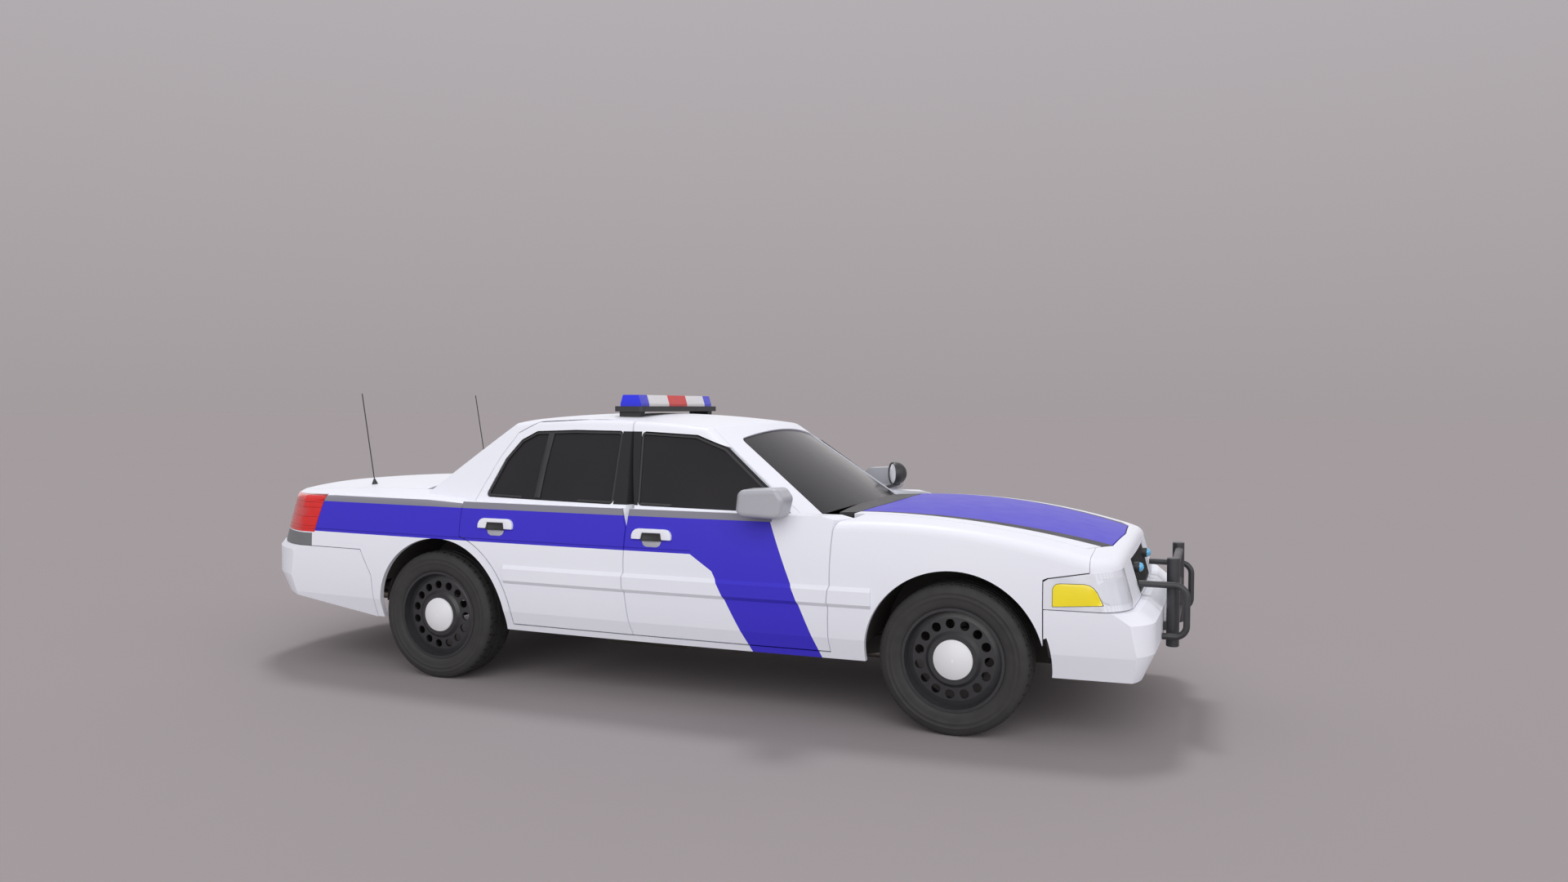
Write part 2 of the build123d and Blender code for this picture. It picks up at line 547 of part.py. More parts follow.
def make_bumpers():
    """Front and rear bumper covers, open at the back and below."""
    across = (-1100, 1100)
    room = box((ahead(414), 2800), across, (FRONT_BUMPER_FOOT_Z, BUMPER_TOP_Z))
    outer = bumper_block(nose, FRONT_BUMPER_FACES, FRONT_BUMPER_REACH, 0) & room
    hollow = box((0, 2800), across, (200, BUMPER_TOP_Z - BUMPER_WALL))
    inner = bumper_block(nose, FRONT_BUMPER_FACES[:2], FRONT_BUMPER_REACH, BUMPER_WALL) & hollow
    cover = outer - inner - arch(FRONT_ARCH) - mirrored(arch(FRONT_ARCH))
    cover = cover - box((2400, 2800), (-270, 270), (372, 440))
    slot = box((2400, 2800), [y + d for y, d in zip(PUSH_BRACKET_Y, (-1, 1))],
               [z + d for z, d in zip(PUSH_BRACKET_Z, (-1, 1))])
    cover = cover - slot - mirrored(slot)
    housing = arch(FRONT_ARCH, LINER_TOP + 2, (400, 906))
    cover = cover - housing - mirrored(housing)
    cover = cover - (INNER_FRONT & box((2000, 2800), across, (520, 720)))

    outline = ((-4600, 425), (-4600, REAR_BUMPER_TOP_Z), (-3424, REAR_BUMPER_TOP_Z), (-3349, 556),
               (-3349, 312), (-4000, 405))
    room = side_prism([(ahead(d), z) for d, z in outline], *across)
    outer = bumper_block(rear_bumper_end, REAR_BUMPER_FACES, REAR_BUMPER_REACH, 0) & room
    hollow = box((-2800, 0), across, (200, REAR_BUMPER_TOP_Z - BUMPER_WALL))
    inner = bumper_block(rear_bumper_end, REAR_BUMPER_FACES[:2], REAR_BUMPER_REACH, BUMPER_WALL) & hollow
    rear = outer - inner - arch(REAR_ARCH) - mirrored(arch(REAR_ARCH))
    rear = rear - (INNER_REAR & box((-2800, -1400), across, (620, 760)))
    return {"front_bumper": cover, "rear_bumper": rear}


def rear_bumper_end(inset, lean, level, reach):
    """Rear bumper face, bowed more than the tail above it."""
    return tail(inset, lean, level, reach, REAR_BUMPER_BOW)


def make_shell():
    """Sills, centre pillars, floor, bulkheads, cowl and rear shelf."""
    under_doors = box((ahead(-2385), ahead(-640)), (0, 1100), (SILL_Z, 352 - PANEL_GAP))
    band = (OUTER_TUB - tub(DOOR_THICKNESS + 25)) & under_doors
    sill = band - arch(REAR_ARCH, 6)
    low = (tub(DOOR_THICKNESS + 24) - tub(DOOR_THICKNESS + 76)) & box((-40, 70), (0, 1100), (360, 1035))
    high = (cabin_side(CABIN_WALL + 8) - cabin_side(CABIN_WALL + 42))
    outline = ((-1590, 1007), (-1720, 1446), (-1840, 1446), (-1750, 1007))
    high = (high & side_prism([(ahead(d), z) for d, z in outline], 300, 1100)) & INNER_CABIN
    step = box((-40, 70), (740, 900), (1007, 1035)) & cabin_side(CABIN_WALL + 8)
    sweep_room = rod((*REAR_HINGE, BELT_Z), (*REAR_HINGE, BELT_Z + 75), 172)
    pillar = (low + high + step) - sweep_room
    floor_line = ((-520, 340), (-2330, 340), (-2460, 560), (-3250, 560), (-3390, 470), (-4240, 470),
                  (-4240, 490), (-3382, 490), (-3242, 580), (-2448, 580), (-2318, 360), (-520, 360))
    inner = tub(DOOR_THICKNESS + 26)
    floor = side_prism([(ahead(d), z) for d, z in floor_line], -1000, 1000) & inner
    wheel_room = arch(REAR_ARCH, LINER_TOP + 1, (REAR_LINER_Y - 1, 1100))
    floor = floor - wheel_room - mirrored(wheel_room)
    floor = floor & rear_limit()
    tunnel = box((ahead(-2340), ahead(-520)), (-150, 150), (340, 510))
    bore = box((ahead(-2600), ahead(-500)), (-128, 128), (300, 488))
    floor = (floor + tunnel) - bore
    wall = box((ahead(-560), ahead(-535)), (-830, 830), (360, 930)) & inner
    wall = wall - box((ahead(-600), ahead(-500)), (-150, 150), (300, 520))
    cowl_top = (OUTER_FRONT - front_block(22)) & box((ahead(-640), ahead(-440)), (-640, 640), (900, 1060))
    cowl_top = cowl_top - lid_prism(HOOD_OUTLINE, 700, 1200, PANEL_GAP)
    shelf_line = ((-2900, 580), (-2925, 580), (-3010, 1002), (-3230, 1002), (-3230, 1018), (-2990, 1018))
    shelf = side_prism([(ahead(d), z) for d, z in shelf_line], -690, 690)
    housing = arch(REAR_ARCH, LINER_TOP + 1, (REAR_LINER_Y - 1, 1100))
    shelf = (shelf & INNER_REAR) - housing - mirrored(housing)
    return {"sills": pair(sill), "centre_pillars": pair(pillar), "floor_pan": floor,
            "bulkheads": Compound(list((wall + shelf).solids())), "cowl": cowl_top}


def rear_limit():
    """Room inside the rear bumper and body for the boot floor."""
    return tail(125) & box((-3000, 3000), (-760, 760), (0, 2000))


def make_wheel():
    """Tyre, and pierced steel rim with its hub cap, about the wheel centre; outer face toward +Y."""
    w, r, s = TYRE_HALF_WIDTH, TYRE_RADIUS, TYRE_SHOULDER
    k = s * (1 - sqrt(0.5))
    bead = RIM_RADIUS + SEAT_CLEARANCE
    edges = [Line((0, -w + 10, bead), (0, -w, bead + 50)), Line((0, -w, bead + 50), (0, -w, r - s)),
             ThreePointArc((0, -w, r - s), (0, -w + k, r - k), (0, -w + s, r)),
             Line((0, -w + s, r), (0, w - s, r)),
             ThreePointArc((0, w - s, r), (0, w - k, r - k), (0, w, r - s)),
             Line((0, w, r - s), (0, w, bead + 50)),
             Line((0, w, bead + 50), (0, w - 10, bead)), Line((0, w - 10, bead), (0, -w + 10, bead))]
    tyre = revolve(make_face(edges), axis=axis_y())
    half, t = RIM_HALF_WIDTH, DISC_THICKNESS
    bore = STUB_RADIUS + RUNNING_CLEARANCE
    inner = RIM_RADIUS - RIM_WALL
    top = HUB_FACE + CAP_RISE
    dish = ((half, RIM_RADIUS), (half, inner), (62, inner - 8), (70, 195), (74, 132), (HUB_FACE, 116),
            (HUB_FACE, CAP_RADIUS), (HUB_FACE + 6, CAP_RADIUS))
    back = ((HUB_FACE - 3, 0), (HUB_FACE - 3, bore), (10, bore), (10, HUB_BOSS_RADIUS),
            (HUB_FACE - t - 6, HUB_BOSS_RADIUS + 8), (74 - t, 140), (70 - t, 203), (62 - t, inner - 8),
            (-half, inner), (-half, RIM_RADIUS), (half, RIM_RADIUS))
    rise = CAP_RISE - 6
    ball = (CAP_RADIUS ** 2 + rise ** 2) / (2 * rise)
    middle = top - ball + sqrt(ball ** 2 - (CAP_RADIUS / 2) ** 2)
    dome = ThreePointArc((0, HUB_FACE + 6, CAP_RADIUS), (0, middle, CAP_RADIUS / 2), (0, top, 0))
    edges = [Line((0, *p), (0, *q)) for p, q in zip(dish, dish[1:])]
    edges = edges + [dome, Line((0, top, 0), (0, *back[0]))]
    edges = edges + [Line((0, *p), (0, *q)) for p, q in zip(back, back[1:])]
    rim = revolve(make_face(edges), axis=axis_y())
    holes = []
    for k in range(VENT_COUNT):
        turn = radians(360.0 * k / VENT_COUNT)
        x, z = VENT_CIRCLE_RADIUS * cos(turn), VENT_CIRCLE_RADIUS * sin(turn)
        holes.append(rod((x, 30, z), (x, 100, z), VENT_RADIUS))
    rim = rim - (Part() + holes)
    return {"tyre": tyre, "rim": rim}


def axis_y():
    """The wheel's own axle line."""
    return Axis((0, 0, 0), (0, 1, 0))


def make_front_axle():
    """Steering knuckles, and the cross-member with its arms and springs."""
    x, z = FRONT_AXLE_X, TYRE_RADIUS
    post = Pos(x, KINGPIN_Y, z) * Cylinder(38, 250)
    stub = rod((x, KINGPIN_Y, z), (x, WHEEL_Y + HUB_FACE - 4, z), STUB_RADIUS)
    arm = box((x - 150, x), (KINGPIN_Y - 18, KINGPIN_Y + 18), (z - 75, z - 45))
    knuckle = post + stub + arm
    socket = KINGPIN_RADIUS + RUNNING_CLEARANCE
    for side in (-1, 1):
        knuckle = knuckle - Pos(x, KINGPIN_Y, z + side * 105) * Cylinder(socket, 42)
    low, high = z - 132, z + 132
    beam = box((x - 62, x + 62), (-470, 470), (low - 40, low + 20))
    half = box((x - 44, x + 44), (440, KINGPIN_Y + 20), (low - 28, low - 4))
    half = half + box((x - 32, x + 32), (395, KINGPIN_Y + 20), (high + 4, high + 26))
    half = half + Pos(x, KINGPIN_Y, low + 12) * Cylinder(KINGPIN_RADIUS, 36)
    half = half + Pos(x, KINGPIN_Y, high - 12) * Cylinder(KINGPIN_RADIUS, 36)
    half = half + box((x - 60, x + 60), (395, 450), (400, high + 26))
    half = half + rod((x, 555, low - 10), (x, 555, high + 10), 36)
    return {"knuckle": knuckle, "front_suspension": beam + half + mirrored(half)}


def make_rear_axle():
    """Live axle with its differential, stubs, springs and trailing links."""
    x, z = REAR_AXLE_X, TYRE_RADIUS
    axle = rod((x, -690, z), (x, 690, z), 42) + Pos(x, 0, z) * Sphere(118)
    axle = axle + rod((x, 0, z), (x + 190, 0, z), 52)
    half = rod((x, 680, z), (x, WHEEL_Y + HUB_FACE - 4, z), STUB_RADIUS)
    half = half + rod((x, 430, z), (x, 430, 475), 45)
    half = half + rod((x, 540, z), (x + 560, 358, 285), 20)
    half = half + rod((x + 555, 340, 285), (x + 555, 390, 285), 16)
    half = half + rod((x - 60, 488, z), (x - 60, 488, 560), 22)
    half = half + box((x - 80, x), (468, 508), (z - 30, z + 30))
    return {"rear_axle": axle + half + mirrored(half)}


def make_chassis():
    """Ladder frame, engine, gearbox and propeller shaft, exhaust, tank and radiator."""
    line = ((760, 400), (-380, 400), (-520, 335), (-2335, 335), (-2465, 555), (-3245, 555), (-3385, 465),
            (-4200, 465), (-4200, 385), (-3430, 385), (-3290, 475), (-2500, 475), (-2340, 235), (-600, 235),
            (-380, 280), (760, 280))
    rail = side_prism([(ahead(d), z) for d, z in line], 390, 460)
    frame = rail + mirrored(rail)
    for d, z in ((700, 300), (-1500, 250), (-2300, 252), (-4150, 395)):
        frame = frame + box((ahead(d), ahead(d + 60)), (-400, 400), (z, z + 60))
    engine = box((ahead(-420), ahead(300)), (-300, 300), (300, 800))
    engine = engine + box((ahead(-300), ahead(200)), (-386, 386), (330, 390))
    engine = engine + box((ahead(-1180), ahead(-420)), (-115, 115), (315, 475))
    shaft = rod((ahead(-1180), 0, TYRE_RADIUS), (REAR_AXLE_X + 190, 0, TYRE_RADIUS), 38)
    run = ((-330, 300), (-330, 215), (-2420, 215), (-2640, 470), (-3090, 470), (-3330, 320), (-4340, 320))
    path = FilletPolyline(*[(ahead(d), 270, z) for d, z in run], radius=60)
    pipe = sweep(Plane(origin=path @ 0, z_dir=path % 0) * Circle(26), path=path)
    silencer = box((ahead(-2150), ahead(-1650)), (190, 350), (150, 262))
    pipe = pipe + fillet(silencer.edges().filter_by(Axis.X), 40)
    for d, z in ((-1470, 250), (-2270, 252)):
        pipe = pipe + rod((ahead(d), 270, 215), (ahead(d), 270, z), 8)
    tank = box((ahead(-3960), ahead(-3420)), (-215, 215), (270, 470))
    radiator = box((ahead(520), ahead(580)), (-390, 390), (330, 800))
    return {"chassis_frame": frame, "engine": engine, "propeller_shaft": shaft, "exhaust": pair(pipe),
            "fuel_tank": fillet(tank.edges(), 30), "radiator": radiator}


def make_liners():
    """Inner wheel housings, front and rear."""
    result = []
    for data, inner, top in ((FRONT_ARCH, FRONT_LINER_Y, LINER_TOP), (REAR_ARCH, REAR_LINER_Y, LINER_TOP)):
        x, z, r = data
        drum = rod((x, inner, z), (x, 905, z), r + top) - rod((x, inner + 12, z), (x, 1000, z), r + top - 14)
        drum = drum & box((x - 600, x + 600), (0, 1100), (z + 40, 1000))
        result.append(drum)
    front, rear = result
    front = front & front_block(SKIN + 2)
    arm_slot = (FRONT_LINER_Y - 10, FRONT_LINER_Y + 20)
    front = front - box((FRONT_AXLE_X - 52, FRONT_AXLE_X + 52), arm_slot, (380, 535))
    rear = rear & rear_block(SKIN + 2)
    rear = rear - box((-2800, ahead(-3280)), (830, 1100), (0, 720))
    return {"wheel_liners": Compound(list(pair(front).solids()) + list(pair(rear).solids()))}


def make_interior():
    """Dashboard, seats and steering wheel."""
    dash_line = ((-565, 600), (-565, 905), (-650, 950), (-900, 935), (-960, 880), (-960, 790), (-860, 740),
                 (-800, 600))
    dash = side_prism([(ahead(d), z) for d, z in dash_line], -730, 730)
    dash = dash - (box((ahead(-1000), ahead(-500)), (-800, 800), (901, 1000)) - behind_screen(24))
    seats = []
    for y in (-380, 380):
        base = box((ahead(-1780), ahead(-1300)), (y - 200, y + 200), (360, 470))
        cushion_line = ((-1820, 470), (-1820, 590), (-1700, 585), (-1290, 620), (-1260, 560), (-1290, 470))
        cushion = side_prism([(ahead(d), z) for d, z in cushion_line], y - 225, y + 225)
        back_line = ((-1760, 560), (-1890, 560), (-2050, 1120), (-1930, 1130))
        back = side_prism([(ahead(d), z) for d, z in back_line], y - 245, y + 245)
        head_line = ((-1955, 1120), (-2045, 1120), (-2075, 1270), (-1985, 1275))
        head = side_prism([(ahead(d), z) for d, z in head_line], y - 130, y + 130)
        seats.append(base + fillet(cushion.edges().filter_by(Axis.Y), 30) + back + fillet(head.edges(), 24))
    bench_line = ((-2440, 580), (-2820, 580), (-2890, 640), (-2980, 1000), (-2870, 1000), (-2770, 660),
                  (-2290, 690), (-2260, 600), (-2300, 530))
    bench = side_prism([(ahead(d), z) for d, z in bench_line], -660, 660)
    housing = arch(REAR_ARCH, LINER_TOP + 1, (REAR_LINER_Y - 1, 1100))
    bench = bench - housing - mirrored(housing)
    spin = Vector(-0.906, 0, 0.423)
    hub = Vector(ahead(-1095), 380, 905)
    ring_plane = Plane(origin=hub, z_dir=spin, x_dir=(0, 1, 0))
    ring = ring_plane * Torus(178, 15)
    centre = ring_plane * Cylinder(62, 42)
    spokes = Part()
    for turn in (0, 180, 270):
        spokes = spokes + ring_plane * Rot(0, 0, turn) * Pos(100, 0, 0) * Box(150, 34, 14)
    shaft = rod(hub, hub - spin * 110, COLUMN_BORE - RUNNING_CLEARANCE)
    wheel = ring + centre + spokes + shaft
    column = rod(hub - spin * 62, hub - spin * 260, 34)
    bore = rod(hub - spin * 40, hub - spin * 120, COLUMN_BORE)
    dash = dash + (column - bore)
    return {"dashboard": dash, "front_seats": Part() + seats, "rear_seat": bench, "steering_wheel": wheel}


def deck_seat(x, y):
    """Point on the boot deck, with the seat's clearance, and the deck's normal there."""
    cx, cz, r = circle_through(*DECK_LINE)
    drop = DECK_CROWN - sqrt(DECK_CROWN ** 2 - y ** 2)
    normal = Vector((x - cx) / r, y / DECK_CROWN, 1).normalized()
    point = Vector(x, y, cz + sqrt((r - drop) ** 2 - (x - cx) ** 2))
    return point + normal * SEAT_CLEARANCE, normal


def make_fittings():
    """Roof light bar, push bumper, spot lamp, door mirrors and aerials."""
    x = ahead(LIGHT_BAR_AHEAD)
    foot = box((x - 64, x + 64), (410, 470), (1430, 1496)) - OUTER_CABIN
    base = box((x - 96, x + 96), (-LIGHT_BAR_HALF - 30, LIGHT_BAR_HALF + 30), (1494, 1524))
    base = fillet(base.edges().filter_by(Axis.Z), 30)
    bar = base + foot + mirrored(foot)
    lenses = {}
    inner, outer = 117, 361
    table = (("lens_blue", ((outer + 1, LIGHT_BAR_HALF), (-LIGHT_BAR_HALF, -outer - 1))),
             ("lens_white", ((inner + 1, outer - 1), (1 - outer, -inner - 1))),
             ("lens_red", ((1 - inner, inner - 1),)))
    for name, spans in table:
        solids = []
        for y0, y1 in spans:
            block = box((x - 66, x + 66), (y0, y1), (1524, 1588))
            solids.append(chamfer(block.edges().filter_by(Axis.Y).group_by(Axis.Z)[-1], 50, 16))
        lenses[name] = Part() + solids
    post = rod(*[(ahead(PUSH_POST_AHEAD), PUSH_POST_Y, z) for z in PUSH_POST_Z], PUSH_POST_RADIUS)
    post = fillet(post.edges().filter_by(GeomType.CIRCLE), 6)
    low, high = PUSH_LOOP_Z
    y = PUSH_LOOP_Y
    loop = FilletPolyline((ahead(788), y, high), (ahead(1004.5), y, high), (ahead(1004.5), y, low),
                          (ahead(896.5), y, low), radius=PUSH_LOOP_BEND)
    tube = sweep(Plane(origin=loop @ 0, z_dir=loop % 0) * Circle(PUSH_TUBE_RADIUS), path=loop)
    stays = Part()
    for z in PUSH_LOOP_Z:
        stays = stays + rod((ahead(PUSH_POST_AHEAD), PUSH_POST_Y, z), (ahead(PUSH_POST_AHEAD), y + 2, z), 15)
    bracket = box((ahead(760), ahead(930)), PUSH_BRACKET_Y, PUSH_BRACKET_Z)
    bracket = bracket + box((ahead(760), ahead(774)), PUSH_BRACKET_Y, (300, PUSH_BRACKET_Z[1]))
    side = post + tube + stays + bracket
    bars = [rod((ahead(945), -330, z), (ahead(945), 330, z), 20) for z in (470, 620, 770)]
    push = side + mirrored(side) + (Part() + bars)
    lamp_hub = Vector(ahead(SPOT_AHEAD), SPOT_Y, SPOT_Z)
    rim = Pos(0, 0, SPOT_RIM / 2) * Cylinder(SPOT_RADIUS, SPOT_RIM)
    dome = Sphere(SPOT_RADIUS) & Pos(0, 0, -SPOT_RADIUS / 2) * Box(160, 160, SPOT_RADIUS)
    bowl = Plane(origin=lamp_hub, z_dir=SPOT_AIM) * (rim + dome)
    spot = bowl + (rod(*[(ahead(d), y, z) for d, y, z in SPOT_ARM], SPOT_ARM_RADIUS) - OUTER_CABIN)
    shell_line = ((-1015, 1000), (-1000, 1128), (-800, 1138), (-765, 1090), (-790, 992))
    head = side_prism([(ahead(d), z) for d, z in shell_line], 965, 1105, corner=36)
    head = fillet(head.faces().sort_by(Axis.Y)[-1].edges(), 24)
    arm = box((ahead(-900), ahead(-830)), (840, 990), (BELT_Z, 1030)) - OUTER_CABIN
    head = head + arm
    seat, normal = deck_seat(ahead(-3655), AERIAL_Y)
    whip = Plane(origin=seat, z_dir=normal) * Cone(18, 5, 32, align=(Align.CENTER, Align.CENTER, Align.MIN))
    whip = whip + rod(seat + normal * 16, (ahead(-3748), AERIAL_Y, AERIAL_TIP_Z), 3.2)
    result = {"light_bar_base": bar, "push_bumper": push, "spot_lamp": spot, "mirror": head}
    result["aerials"] = pair(whip)
    result.update(lenses)
    return result


def assemble():
    """Every named piece of the car in its place."""
    nodes = {}
    for maker in (make_front_panels, make_upper_body, make_rear_panels, make_bumpers, make_shell,
                  make_rear_axle, make_chassis, make_liners, make_interior):
        nodes.update(maker())
    fittings = make_fittings()
    nodes["mirror_left"] = fittings.pop("mirror")
    nodes["mirror_right"] = mirrored(nodes["mirror_left"])
    nodes.update(fittings)
    for name, shape in make_doors().items():
        nodes[name + "_left"] = shape
        nodes[name + "_right"] = mirrored(shape)
    front = make_front_axle()
    nodes["front_suspension"] = front["front_suspension"]
    nodes["knuckle_left"] = front["knuckle"]
    nodes["knuckle_right"] = mirrored(front["knuckle"])
    for name, shape in make_wheel().items():
        for axle, x in (("front", FRONT_AXLE_X), ("rear", REAR_AXLE_X)):
            placed = shape.moved(Location((x, WHEEL_Y, TYRE_RADIUS)))
            nodes[f"{name}_{axle}_left"] = placed
            nodes[f"{name}_{axle}_right"] = mirrored(placed)
    return nodes


os.makedirs("parts", exist_ok=True)
for node, shape in assemble().items():
    export_step(shape, f"parts/{node}.step")
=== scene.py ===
"""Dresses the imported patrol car: paint, glass, lamps, tyres, trim, seats, light and camera.

Everything is in metres in the car's own frame: +X forward, +Y to the left, +Z up, ground at zero.
"""

import json
import logging
import math
from dataclasses import dataclass, field
from enum import Enum
from functools import partial, reduce
from typing import Callable, Sequence

import bpy
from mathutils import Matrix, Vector

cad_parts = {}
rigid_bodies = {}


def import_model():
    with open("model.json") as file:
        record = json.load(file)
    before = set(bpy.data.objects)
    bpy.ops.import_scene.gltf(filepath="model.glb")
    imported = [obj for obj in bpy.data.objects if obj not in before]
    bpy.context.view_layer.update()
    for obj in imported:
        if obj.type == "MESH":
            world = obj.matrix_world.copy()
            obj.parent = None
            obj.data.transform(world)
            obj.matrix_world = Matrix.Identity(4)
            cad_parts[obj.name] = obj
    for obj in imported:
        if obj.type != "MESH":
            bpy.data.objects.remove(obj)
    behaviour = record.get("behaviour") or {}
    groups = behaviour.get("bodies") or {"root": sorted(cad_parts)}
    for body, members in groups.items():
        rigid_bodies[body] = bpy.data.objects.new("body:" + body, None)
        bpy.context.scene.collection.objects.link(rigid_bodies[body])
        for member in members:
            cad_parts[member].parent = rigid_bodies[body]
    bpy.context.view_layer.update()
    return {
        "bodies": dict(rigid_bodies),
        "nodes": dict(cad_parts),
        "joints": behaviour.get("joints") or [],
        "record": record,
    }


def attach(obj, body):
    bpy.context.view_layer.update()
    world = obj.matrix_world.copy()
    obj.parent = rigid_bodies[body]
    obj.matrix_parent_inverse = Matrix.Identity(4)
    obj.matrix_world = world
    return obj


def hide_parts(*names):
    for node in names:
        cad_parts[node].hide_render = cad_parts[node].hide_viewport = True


LOG = logging.getLogger("patrol_car")
FRONT_AXLE_X = 1.700
REAR_AXLE_X = -1.213
WHEEL_Y = 0.800
WHEEL_Z = 0.355
START_SIZE = 0.01
MERGE_DISTANCE = 0.00002
SHARP_ANGLE = 35.0
FACING = 0.9
FULL_TURN = 2 * math.pi

# Places of a Mix node's colour sockets and of a Map Range node's limits.
MIX_FACTOR, MIX_FIRST, MIX_SECOND = 0, 6, 7
MIX_RESULT = 2
RANGE_FROM_TOP, RANGE_LOW, RANGE_HIGH = 2, 3, 4

Object = bpy.types.Object
Material = bpy.types.Material
Socket = bpy.types.NodeSocket
Colour = tuple[float, float, float, float]
Point = tuple[float, float, float]
Pair = tuple[float, float]
Outline = tuple[Pair, ...]
Cut = tuple[Point, Point]
Finishes = dict[str, Material]
Test = Callable[[Vector, Vector], bool]


class Side(Enum):
    """Side of the car, with its sign along Y."""

    LEFT = 1
    RIGHT = -1

    @property
    def word(self) -> str:
        """Name of the side as the parts use it."""
        return self.name.lower()


class Axle(Enum):
    """Front or rear axle, with its station along the car."""

    FRONT = FRONT_AXLE_X
    REAR = REAR_AXLE_X

    @property
    def word(self) -> str:
        """Name of the axle as the parts use it."""
        return self.name.lower()


def ahead(distance: float) -> float:
    """Station along the car of a distance ahead of the front axle."""
    return FRONT_AXLE_X + distance


def circle_through(a: Pair, b: Pair, c: Pair) -> tuple[float, float, float]:
    """Finds the circle through three points of a plane.

    Args:
        a: First point.
        b: Second point.
        c: Third point.

    Returns:
        Both coordinates of the centre, and the radius.
    """
    d = 2 * (a[0] * (b[1] - c[1]) + b[0] * (c[1] - a[1]) + c[0] * (a[1] - b[1]))
    aa, bb, cc = (p[0] ** 2 + p[1] ** 2 for p in (a, b, c))
    u = (aa * (b[1] - c[1]) + bb * (c[1] - a[1]) + cc * (a[1] - b[1])) / d
    v = (aa * (c[0] - b[0]) + bb * (a[0] - c[0]) + cc * (b[0] - a[0])) / d
    return u, v, math.hypot(a[0] - u, a[1] - v)


@dataclass(frozen=True)
class BodySurface:
    """Outer surfaces of the body, for the paint and for the pieces that sit on them."""

    side_arc: Outline = ((0.960, 0.420), (0.985, 0.730), (0.934, 1.050))
    side_wide: float = 0.985
    side_plan: float = 34.0
    cabin_arc: Outline = ((0.95777, 0.930), (0.79080, 1.245), (0.59982, 1.560))
    cabin_wide: float = 0.918
    cabin_plan: float = 7.0
    cabin_mid_x: float = -0.090

    def half_width(self, arc: Outline, axis_y: float, run: float, z: float) -> float:
        """Works out the half-width of a surface that is an arc turned about an upright axis.

        Args:
            arc: Three points of the arc, each a half-width and a height.
            axis_y: Place of the axis across the car.
            run: Distance along the car from the axis.
            z: Height.

        Returns:
            The half-width.
        """
        y, mid, radius = circle_through(*arc)
        reach = y + math.sqrt(radius ** 2 - (z - mid) ** 2) - axis_y
        return axis_y + math.sqrt(reach ** 2 - run ** 2)

    def on_side(self, a: float, z: float, out: float) -> Point:
        """Point on the left body side at a distance ahead of the front axle."""
        x = ahead(a)
        return x, self.half_width(self.side_arc, self.side_wide - self.side_plan, x, z) + out, z

    def on_cabin(self, a: float, z: float, out: float) -> Point:
        """Point on the left cabin side at a distance ahead of the front axle."""
        x, axis_y = ahead(a), self.cabin_wide - self.cabin_plan
        return x, self.half_width(self.cabin_arc, axis_y, x - self.cabin_mid_x, z) + out, z


BODY = BodySurface()


